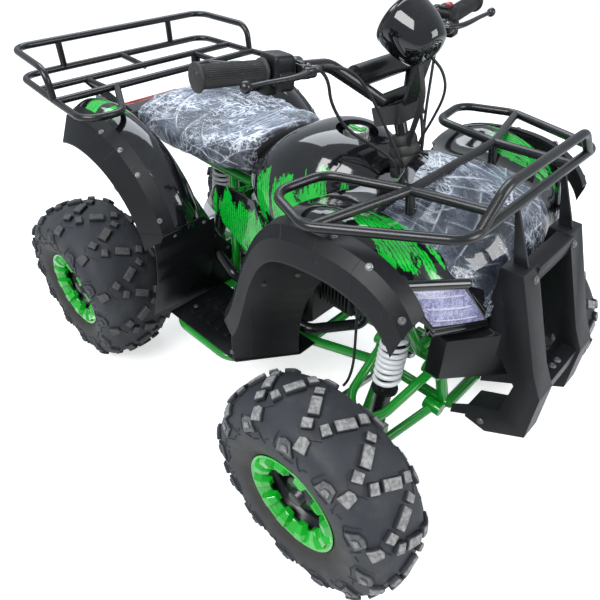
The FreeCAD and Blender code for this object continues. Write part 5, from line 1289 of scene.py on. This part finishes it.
def makeControls(sign):
    shell = [softBox((0.001, 0.1475, 0.002), (0.0235, 0.0205, 0.0245), 0.34, 26, 40),
             softBox((0.017, 0.1475, -0.012), (0.0150, 0.0150, 0.0150), 0.36)]
    perch = [barRing(0.1690, 0.1960, 0.0178, 0.003),
             softBox((0.021, 0.183, 0.001), (0.0150, 0.0105, 0.0115), 0.4),
             softBox((0.018, 0.1825, 0.010), (0.0085, 0.0075, 0.0060), 0.45)]
    if sign < 0:
        shell += [softBox((-0.004, 0.132, -0.026), (0.0160, 0.0130, 0.0100), 0.4),
                  softBox((-0.018, 0.118, -0.028), (0.0110, 0.0170, 0.0042), 0.5)]
    else:
        shell += [softBox((-0.018, 0.150, 0.017), (0.0075, 0.0130, 0.0110), 0.36),
                  softBox((0.004, 0.148, 0.026), (0.0120, 0.0130, 0.0060), 0.36)]
    handPiece("switchBox", shell, sign, "flarePlastic")
    handPiece("leverPerch", perch, sign, "satinBlack")
    handPiece("switchSeam", [barRing(0.1470, 0.1480, 0.0248, 0.0003, 48)], sign, "gap")
    barrel = tubeMesh(np.array([(0.026, 0.192, 0.004), (0.027, 0.205, 0.004), (0.028, 0.216, 0.003)]),
                      np.array([0.0048, 0.0052, 0.0036]), 14)
    screws = [ballMesh((0.0215, 0.140, 0.016), 0.0028), ballMesh((0.0215, 0.156, 0.016), 0.0028),
              ballMesh((0.030, 0.187, 0.0095), 0.0046)]
    handPiece("controlScrews", [barrel] + screws, sign, "boltZinc")


for sign in (-1, 1):
    handPiece("grip", [gripMesh()], sign, "gripRubber", "grips")
    makeLever(sign)
    makeControls(sign)
paints["redButton"] = finish("redButton", {"colour": (0.42, 0.012, 0.010), "roughness": 0.3, "coat": 0.4})
handPiece("stopButton", [softBox((0.010, 0.150, 0.0330), (0.0065, 0.0070, 0.0040), 0.6)], 1, "redButton")
print("quad bike: grips and controls made")

# Instrument pod: a turned shell with a bezel and a dial towards the rider, on a plate from the clamp

podSpec = {"back": (0.262, 0.0, 1.006), "tilt": 30, "dial": 0.0436}
# outlines of (along the axis from the back, radius)
podShell = [(0.0040, 0.0), (0.0040, 0.0440), (0.0010, 0.0450), (-0.0005, 0.0465), (0.0005, 0.0482),
            (0.0030, 0.0492), (0.0060, 0.0496), (0.0068, 0.0490), (0.0075, 0.0490), (0.0083, 0.0498),
            (0.0180, 0.0502), (0.0350, 0.0496), (0.0500, 0.0480), (0.0600, 0.0455), (0.0720, 0.0418),
            (0.0800, 0.0375), (0.0850, 0.0335), (0.0876, 0.0290), (0.0880, 0.0130), (0.0866, 0.0118),
            (0.0830, 0.0110), (0.0830, 0.0)]
podHub = [(0.0030, 0.0), (0.0008, 0.0), (0.0008, 0.0030), (0.0030, 0.0036)]
podLock = [(0.0830, 0.0), (0.0855, 0.0), (0.0862, 0.0085), (0.0875, 0.0100), (0.0886, 0.0112),
           (0.0890, 0.0128), (0.0880, 0.0138), (0.0830, 0.0138)]


def onPod(verts):
    # local (along the axis, left, up) to the frame
    lean = math.radians(podSpec["tilt"])
    along = np.array([math.cos(lean), 0, -math.sin(lean)])
    up = np.array([math.sin(lean), 0, math.cos(lean)])
    return np.array(podSpec["back"]) + verts[:, :1] * along + verts[:, 1:2] * [0, 1, 0] + verts[:, 2:] * up


def podPiece(name, shape, paint):
    verts, faces = shape
    piece = meshObject(name, onPod(verts), faces, paints[paint], "handlebar_assembly")
    recalcNormals(piece)
    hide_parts("instrument_pod")
    return piece


def dialPaint():
    # dark face with a ring of light ticks, worked out from the turn and the distance from the middle
    material, tree, shader = principled("dialFace", (0.01, 0.01, 0.012), 0.25, coat=0.6)
    parts = addNode(tree, "ShaderNodeSeparateXYZ", Vector=tree.nodes.new("ShaderNodeUVMap").outputs[0])
    x, y = parts.outputs["X"], parts.outputs["Y"]
    squares = plus(tree, mathNode(tree, "POWER", x, 2.0), mathNode(tree, "POWER", y, 2.0))
    radius = mathNode(tree, "SQRT", squares)
    turns = times(tree, mathNode(tree, "ARCTAN2", y, x), 24 / (2 * math.pi))
    phase = offMiddle(tree, mathNode(tree, "FRACT", turns))
    inRing = times(tree, ramp(tree, radius, 0.74, 0.76), ramp(tree, radius, 0.92, 0.90))
    tick = times(tree, ramp(tree, phase, 0.12, 0.08), inRing)
    colour = colourMix(tree, tick, (0.01, 0.01, 0.012, 1), (0.75, 0.75, 0.75, 1))
    noise = noiseAt(tree, objectPlace(tree), 60.0, 4.0)
    tree.links.new(colour, shader.inputs["Base Color"])
    tree.links.new(ramp(tree, noise, -0.6, 3.0), shader.inputs["Roughness"])
    return material


def discMesh(along, radius, rings, sides):
    # a thin round plate: the front's rings from the middle out, then the back's from the rim in
    r, turn = np.meshgrid(np.linspace(0, radius, rings), fullTurn(sides), indexing="ij")
    front = np.stack([np.full(r.shape, along), r * np.cos(turn), r * np.sin(turn)], -1).reshape(-1, 3)
    back = front[::-1].reshape(rings, sides, 3)[:, ::-1] + [0.0012, 0, 0]
    verts = np.concatenate([front, back.reshape(-1, 3)])
    return verts, gridFaces(2 * rings, sides, closeColumns=True)


def makePod():
    podPiece("podShell", lathe(np.array(podShell), 112, axis="x"), "gloss")
    paints["dialFace"] = dialPaint()
    face = podPiece("podDial", discMesh(0.0026, podSpec["dial"], 10, 72), "dialFace")
    layer = face.data.uv_layers.new(name="dial")
    corner = np.zeros(len(face.data.loops), np.int32)
    face.data.loops.foreach_get("vertex_index", corner)
    spots = np.zeros(len(face.data.vertices) * 3, np.float32)
    face.data.vertices.foreach_get("co", spots)
    local = (spots.reshape(-1, 3) - podSpec["back"]) / podSpec["dial"]
    up = [math.sin(math.radians(podSpec["tilt"])), 0, math.cos(math.radians(podSpec["tilt"]))]
    flat = np.stack([local[:, 1], local @ up], 1)
    layer.data.foreach_set("uv", flat[corner].astype(np.float32).reshape(-1))
    podPiece("podNeedle", softBox((0.0020, 0.008, 0.010), (0.0006, 0.0010, 0.0160), 0.5), "redButton")
    podPiece("podHub", lathe(np.array(podHub), 24, axis="x", closed=True), "gloss")
    podPiece("podLock", lathe(np.array(podLock), 48, axis="x", closed=True), "satinBlack")
    podPiece("podLockSlot", softBox((0.0862, 0, 0), (0.0012, 0.0012, 0.0056), 0.4), "gap")
    corners = [(x, y, z) for x, z in ((0.2995, 0.8545), (0.3070, 0.8575), (0.3265, 0.9690), (0.3330, 0.9650))
               for y in (-0.021, 0.021)]
    hull, hullFaces = hullPiece(corners)
    plate = meshObject("podPlate", hull, hullFaces, paints["satinBlack"], "handlebar_assembly", smooth=False)
    bevelled(plate, 0.0012, 2)
    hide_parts("instrument_pod")


makePod()
print("quad bike: instrument pod made")

# Cables and hoses along routes read from the photograph: radius, body and points from the upper end down

cableRoutes = {
    "throttleCable": (0.0030, "handlebar_assembly", [
        (0.229, -0.170, 0.952), (0.240, -0.150, 0.930), (0.238, -0.140, 0.885), (0.252, -0.108, 0.832),
        (0.286, -0.066, 0.800), (0.318, -0.040, 0.772), (0.330, -0.032, 0.735)]),
    "brakeCable": (0.0028, "handlebar_assembly", [
        (0.247, -0.170, 0.955), (0.268, -0.120, 0.944), (0.284, -0.080, 0.890), (0.300, -0.052, 0.830),
        (0.324, -0.036, 0.780), (0.334, -0.022, 0.738)]),
    "leftBrakeCable": (0.0028, "handlebar_assembly", [
        (0.247, 0.170, 0.955), (0.272, 0.120, 0.946), (0.296, 0.080, 0.900), (0.312, 0.052, 0.840),
        (0.330, 0.030, 0.780), (0.336, 0.020, 0.738)]),
    "switchWires": (0.0032, "handlebar_assembly", [
        (0.216, 0.172, 0.945), (0.240, 0.130, 0.905), (0.262, 0.086, 0.870), (0.300, 0.050, 0.850),
        (0.326, 0.034, 0.800), (0.330, 0.030, 0.740)]),
    "podLoom": (0.0052, "handlebar_assembly", [
        (0.322, -0.012, 0.950), (0.338, -0.020, 0.925), (0.350, -0.024, 0.892), (0.336, -0.020, 0.840),
        (0.322, -0.012, 0.797), (0.326, -0.006, 0.748)]),
    "podWire": (0.0026, "handlebar_assembly", [
        (0.328, 0.016, 0.950), (0.352, 0.024, 0.930), (0.364, 0.026, 0.895), (0.346, 0.022, 0.840),
        (0.328, 0.016, 0.797), (0.330, 0.012, 0.748)]),
    "frontHose": (0.0030, "chassis", [
        (0.352, -0.160, 0.600), (0.366, -0.184, 0.560), (0.377, -0.196, 0.470), (0.386, -0.206, 0.400),
        (0.384, -0.216, 0.356), (0.376, -0.222, 0.336)]),
}
hoseRadius, hoseBody, hosePoints = cableRoutes["frontHose"]
cableRoutes["frontHoseLeft"] = (hoseRadius, hoseBody, np.array(hosePoints) * mirrorY)


def makeCable(name, radius, body, points):
    line = smoothLine(points, 4)
    length = np.linalg.norm(np.diff(line, axis=0), axis=1).sum()
    line = resample(line, max(60, int(length / 0.0035)))
    verts, faces = tubeMesh(line, radius, 14)
    piece = meshObject(name, verts, faces, paints["gripRubber"], body)
    recalcNormals(piece)


for name, route in cableRoutes.items():
    makeCable(name, *route)
print("quad bike: cables made")

# Fuel cap: a knurled knob on a flange, with a coloured tab

capSpec = {"centre": (0.191, 0.0, 0.7663), "ridges": 30, "ridgeDepth": 0.0011, "sides": 180}
# rows of (height, radius, share of the ridges' depth)
capRows = np.array([(0.0, 0.0, 0), (0.0, 0.0285, 0), (0.0012, 0.0298, 0), (0.0030, 0.0298, 0),
                    (0.0042, 0.0285, 0), (0.0046, 0.0262, 0), (0.0060, 0.0252, 1), (0.0200, 0.0248, 1),
                    (0.0222, 0.0238, 0.5), (0.0232, 0.0215, 0), (0.0234, 0.0150, 0), (0.0226, 0.0120, 0),
                    (0.0226, 0.0, 0)])


def makeCap():
    sides = capSpec["sides"]
    angle = fullTurn(sides)
    grooves = (np.sin(angle * capSpec["ridges"]) > 0.2)[None]
    radius = capRows[:, 1:2] - capRows[:, 2:] * capSpec["ridgeDepth"] * grooves
    height = np.repeat(capRows[:, :1], sides, 1)
    verts = np.stack([radius * np.cos(angle), radius * np.sin(angle), height], -1).reshape(-1, 3)
    faces = gridFaces(len(capRows), sides, closeColumns=True)
    piece = meshObject("capKnob", verts + capSpec["centre"], faces, paints["capMetal"], "chassis")
    recalcNormals(piece)
    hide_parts("fuel_cap")
    parts = [softBox((0, 0, 0.0240), (0.0200, 0.0046, 0.0022), 0.3),
             softBox((0.012, 0, 0.0245), (0.0060, 0.0100, 0.0020), 0.4)]
    verts, faces = joinMeshes(parts)
    tab = meshObject("capTab", verts + capSpec["centre"], faces, paints["rimGreen"], "chassis")
    recalcNormals(tab)


makeCap()
print("quad bike: fuel cap made")

# Hood: rails from the tank forwards over the nose, right half given, with a strip between the two halves

hoodRails = [
    [(0.262, -0.2865, 0.728), (0.320, -0.2865, 0.752), (0.400, -0.2865, 0.752), (0.460, -0.2860, 0.735),
     (0.516, -0.2815, 0.708)],
    [(0.262, -0.258, 0.742), (0.330, -0.258, 0.772), (0.410, -0.256, 0.772), (0.480, -0.250, 0.746),
     (0.542, -0.226, 0.6950)],
    [(0.262, -0.214, 0.738), (0.330, -0.208, 0.756), (0.420, -0.202, 0.757), (0.500, -0.192, 0.735),
     (0.569, -0.1725, 0.6820)],
    [(0.268, -0.178, 0.735), (0.330, -0.166, 0.743), (0.420, -0.160, 0.744), (0.510, -0.152, 0.728),
     (0.568, -0.143, 0.690), (0.5860, -0.1435, 0.640)],
    [(0.274, -0.158, 0.736), (0.330, -0.125, 0.742), (0.420, -0.120, 0.750), (0.520, -0.112, 0.734),
     (0.580, -0.106, 0.692), (0.6010, -0.1140, 0.594)],
    [(0.284, -0.156, 0.738), (0.322, -0.080, 0.750), (0.395, -0.075, 0.760), (0.450, -0.070, 0.763),
     (0.530, -0.066, 0.746), (0.588, -0.060, 0.696), (0.6040, -0.060, 0.594)],
]
hoodMiddle = [(0.346, 0.0, 0.788), (0.400, 0.0, 0.788), (0.450, 0.0, 0.780), (0.530, 0.0, 0.758),
              (0.591, 0.0, 0.702), (0.6070, 0.0, 0.594)]
hoodSpec = {"rows": 110, "columns": 70, "stripRows": 31, "stripColumns": 90, "wall": 0.003}


def spreadRails(rails, rows, columns):
    # a smooth grid through rails that run alongside each other
    grid = np.stack([resample(smoothLine(rail, 2), rows) for rail in rails]).reshape(len(rails), -1)
    grid = smoothLine(grid, 3)
    at = np.linspace(0, len(grid) - 1, columns)
    low = np.minimum(at.astype(int), len(grid) - 2)
    part = (at - low)[:, None]
    return (grid[low] * (1 - part) + grid[low + 1] * part).reshape(columns, rows, 3)


def hoodGrids():
    # the right half, its mirror, and the strip that bows up from one half's edge to the other's
    half = spreadRails(hoodRails, hoodSpec["rows"], hoodSpec["columns"])
    edge = half[-1]
    inner = resample(edge[edge[:, 0] > hoodMiddle[0][0]], hoodSpec["stripColumns"])
    middle = resample(smoothLine(hoodMiddle, 2), hoodSpec["stripColumns"])
    t = np.linspace(0, 1, hoodSpec["stripRows"])[:, None, None]
    bow = np.sin(t * math.pi / 2)
    level = inner[None] * (1 - bow) + middle[None] * bow
    strip = level * [1, 0, 1] + inner[None] * [0, 1, 0] * (1 - t)
    whole = np.concatenate([strip, strip[-2::-1] * mirrorY])
    return half, half * mirrorY, whole


def makeHood():
    verts, faces = joinMeshes([(grid.reshape(-1, 3), gridFaces(*grid.shape[:2])) for grid in hoodGrids()])
    piece = meshObject("hoodShell", verts, faces, hoodPaint, "chassis")
    recalcNormals(piece, 0.0001)
    upwards = sum(face.normal.z * face.area for face in piece.data.polygons)
    if upwards < 0:
        piece.data.flip_normals()
    walled(piece, hoodSpec["wall"])
    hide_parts("front_body")


makeHood()

# Boot and lamp bars

bootSpec = {"start": (0.279, 0.0, 0.865), "rake": 20, "reach": (0.060, 0.136), "radii": (0.0235, 0.0345),
            "fold": 0.0020}


def makeBoot():
    # a folded rubber boot round the foot of the column, over the frame's collar
    share = np.linspace(0, 1, 90)
    along = bootSpec["reach"][0] + (bootSpec["reach"][1] - bootSpec["reach"][0]) * share
    lean = math.radians(bootSpec["rake"])
    line = np.array(bootSpec["start"]) + along[:, None] * [math.sin(lean), 0, -math.cos(lean)]
    fold = bootSpec["fold"] * np.abs(np.sin(share * 4 * math.pi)) ** 0.6
    radii = bootSpec["radii"][0] + (bootSpec["radii"][1] - bootSpec["radii"][0]) * share + fold
    verts, faces = tubeMesh(line, radii, 48)
    piece = meshObject("columnBoot", verts, faces, paints["gripRubber"], "chassis")
    recalcNormals(piece)


makeBoot()


def makeLampBars():
    # a gloss bar over each lamp, a thin bright tube laid along it as a painted highlight, and a broad lip
    # under it
    edge = np.linspace(0, 1, 70)
    upper = lampPlaces(edge, 0 * edge)
    over = upper + [0.004, -0.001, 0.0085]
    # route of the bright tube that stands for the bar's highlight
    line = upper + [0.0085, -0.004, 0.0125]
    under = lampPlaces(edge, 0 * edge + 1) + [-0.002, 0.001, -0.0090]
    for name, route, radius, paint, slot in (("lampBar", over, 0.0088, "gloss", "black_gloss_plastic"),
                                             ("lampBarLine", line, 0.0012, "boltZinc", "bright_steel"),
                                             ("lampLip", under, 0.0085, "gloss", "black_gloss_plastic")):
        right, faces = tubeMesh(route, radius, 14)
        verts, faces = joinMeshes([(right, faces), (right * mirrorY, faces)])
        piece = meshObject(name, verts, faces, paints[paint], "chassis")
        recalcNormals(piece)


makeLampBars()
print("quad bike: hood and lamp bars made")

# Film over the middle of the hood, laid on it from above and from the front

hoodFilm = {"y": (-0.190, 0.128), "angles": (117, 11), "rows": 150, "columns": 150, "heart": (0.470, 0.585),
            "noseShare": 0.74, "reach": 0.45, "lift": 0.0018}


def makeHoodFilm():
    angle, y = np.meshgrid(np.radians(np.linspace(*hoodFilm["angles"], hoodFilm["rows"])),
                           np.linspace(*hoodFilm["y"], hoodFilm["columns"]), indexing="ij")
    ragged = 0.012 * np.sin(y * 46) + 0.007 * np.sin(y * 117 + 1.0)
    ontoNose = np.clip((math.radians(62) - angle) / math.radians(30), 0, 1)
    y = y * (1 - (1 - hoodFilm["noseShare"]) * ontoNose)
    angle = angle + ragged * 2.2 * np.linspace(1, -1, hoodFilm["rows"])[:, None]
    y = y + 0.010 * np.sin(angle * 9.0) * np.linspace(-1, 1, hoodFilm["columns"])[None] ** 3
    way = np.stack([np.cos(angle), 0 * angle, np.sin(angle)], -1)
    heart = np.stack([np.full(y.shape, hoodFilm["heart"][0]), y, np.full(y.shape, hoodFilm["heart"][1])], -1)
    tree = surfaceTree(["hoodShell"])
    starts = (heart + way * hoodFilm["reach"]).reshape(-1, 3)
    hits = [tree.ray_cast(Vector(start), Vector(-ahead)) for start, ahead in zip(starts, way.reshape(-1, 3))]
    reach = np.array([np.nan if hit[3] is None else hoodFilm["reach"] - hit[3] for hit in hits])
    reach = reach.reshape(y.shape)
    known = np.where(np.isnan(reach), np.nanmean(reach, 1, keepdims=True), reach)
    for _ in range(4):
        wide = np.pad(known, 1, mode="edge")
        known = np.maximum(known, (wide[:-2, 1:-1] + wide[2:, 1:-1] + wide[1:-1, :-2] + wide[1:-1, 2:]) / 4)
    lift, crestHighlight = creaseField(angle * 0.16, y, 110, (0.02, 0.08), (0.0015, 0.005), (0.0004, 0.0030),
                              filmSpec["seed"] + 4)
    points = heart + way * (known + hoodFilm["lift"] + np.clip(lift, 0, 0.006))[..., None]
    film = meshObject("hoodWrap", points.reshape(-1, 3), gridFaces(*y.shape), hoodFilmPaint, "chassis",
                      values={"crease": crestHighlight})


makeHoodFilm()
print("quad bike: hood film made")

# Bolts: flanged hex heads set on the surface that carries them

boltSpots = {
    "flareBolts": {"nodes": ["front_flares", "front_mud_panels"], "size": (0.0048, 0.0034),
                   "pixels": [(334, 236), (369, 267), (402, 321), (264, 284), (298, 275)]},
    "rearFlareBolts": {"nodes": rearNodes + ["rear_mud_panels"], "size": (0.0050, 0.0034),
                       "pixels": [(101, 132), (120, 150), (138, 175), (160, 221), (142, 241), (174, 235)]},
    "bumperBolts": {"nodes": ["bumper"], "size": (0.0055, 0.0036),
                    "pixels": [(557, 360), (465, 401), (480, 421), (536, 280)]},
    "panelBolts": {"nodes": ["side_panels", "footboards", "front_mud_panels", "legShieldRight"],
                   "size": (0.0048, 0.0034),
                   "pixels": [(196, 306), (232, 352), (204, 222), (214, 236), (228, 247)]},
}


def makeBolts(name, spots):
    places, ways = seenThrough(spots["pixels"], spots["nodes"])
    places = np.concatenate([places, places * mirrorY])
    ways = np.concatenate([ways, ways * mirrorY])
    head, headFaces = boltShape(*spots["size"])
    verts, faces = copies(head, headFaces, facing(places, ways, 0.4))
    piece = meshObject(name, verts, faces, paints["boltZinc"], "chassis", smooth=False)
    recalcNormals(piece)
    bevelled(piece, 0.0004)


for name, spots in boltSpots.items():
    makeBolts(name, spots)
print("quad bike: bolts set")

# Stage: floor and lamps

def areaLamp(name, place, target, size, power, colour=(1, 1, 1)):
    lamp = bpy.data.objects.new(name, bpy.data.lights.new(name, "AREA"))
    lamp.data.shape = "RECTANGLE"
    lamp.data.size, lamp.data.size_y = size
    lamp.data.energy = power
    lamp.data.color = colour
    lamp.location = place
    lamp.rotation_euler = (Vector(target) - Vector(place)).to_track_quat("-Z", "Y").to_euler()
    bpy.context.scene.collection.objects.link(lamp)


def makeStage():
    # the floor is a white sheet: seen straight on it gets part of its white by itself, and keeps its shadow
    material = bpy.data.materials.new("floorWhite")
    material.use_nodes = True
    tree = material.node_tree
    shader = tree.nodes["Principled BSDF"]
    shader.inputs["Base Color"].default_value = (0.82, 0.82, 0.82, 1)
    shader.inputs["Roughness"].default_value = 0.9
    shader.inputs["Emission Color"].default_value = (1, 1, 1, 1)
    path = tree.nodes.new("ShaderNodeLightPath")
    own = times(tree, path.outputs["Is Camera Ray"], 0.60)
    tree.links.new(own, shader.inputs["Emission Strength"])
    size = 6.0
    verts = [(-size, -size, 0), (size, -size, 0), (size, size, 0), (-size, size, 0)]
    mesh = bpy.data.meshes.new("floor")
    mesh.from_pydata(verts, [], [(0, 1, 2, 3)])
    mesh.materials.append(material)
    floor = bpy.data.objects.new("floor", mesh)
    bpy.context.scene.collection.objects.link(floor)
    world = bpy.data.worlds.new("studio")
    world.use_nodes = True
    bpy.context.scene.world = world
    tree = world.node_tree
    background = tree.nodes["Background"]
    background.inputs["Color"].default_value = (0.86, 0.93, 1.0, 1)
    background.inputs["Strength"].default_value = 0.55
    seen = addNode(tree, "ShaderNodeBackground", Color=(1, 1, 1, 1), Strength=1.0)
    path = tree.nodes.new("ShaderNodeLightPath")
    mix = tree.nodes.new("ShaderNodeMixShader")
    tree.links.new(path.outputs["Is Camera Ray"], mix.inputs[0])
    tree.links.new(background.outputs[0], mix.inputs[1])
    tree.links.new(seen.outputs[0], mix.inputs[2])
    tree.links.new(mix.outputs[0], tree.nodes["World Output"].inputs["Surface"])
    areaLamp("keyLamp", (0.4, -2.6, 3.2), (0, 0, 0.5), (2.4, 1.6), 120)
    areaLamp("skyLamp", (-1.6, 1.0, 3.4), (0, 0, 0.5), (3.0, 2.2), 90, (0.88, 0.94, 1.0))
    areaLamp("noseLamp", (2.8, 0.8, 1.8), (0.3, 0, 0.6), (1.4, 1.4), 40)


makeStage()
bpy.context.scene.view_settings.view_transform = "Standard"
print("quad bike: stage set")
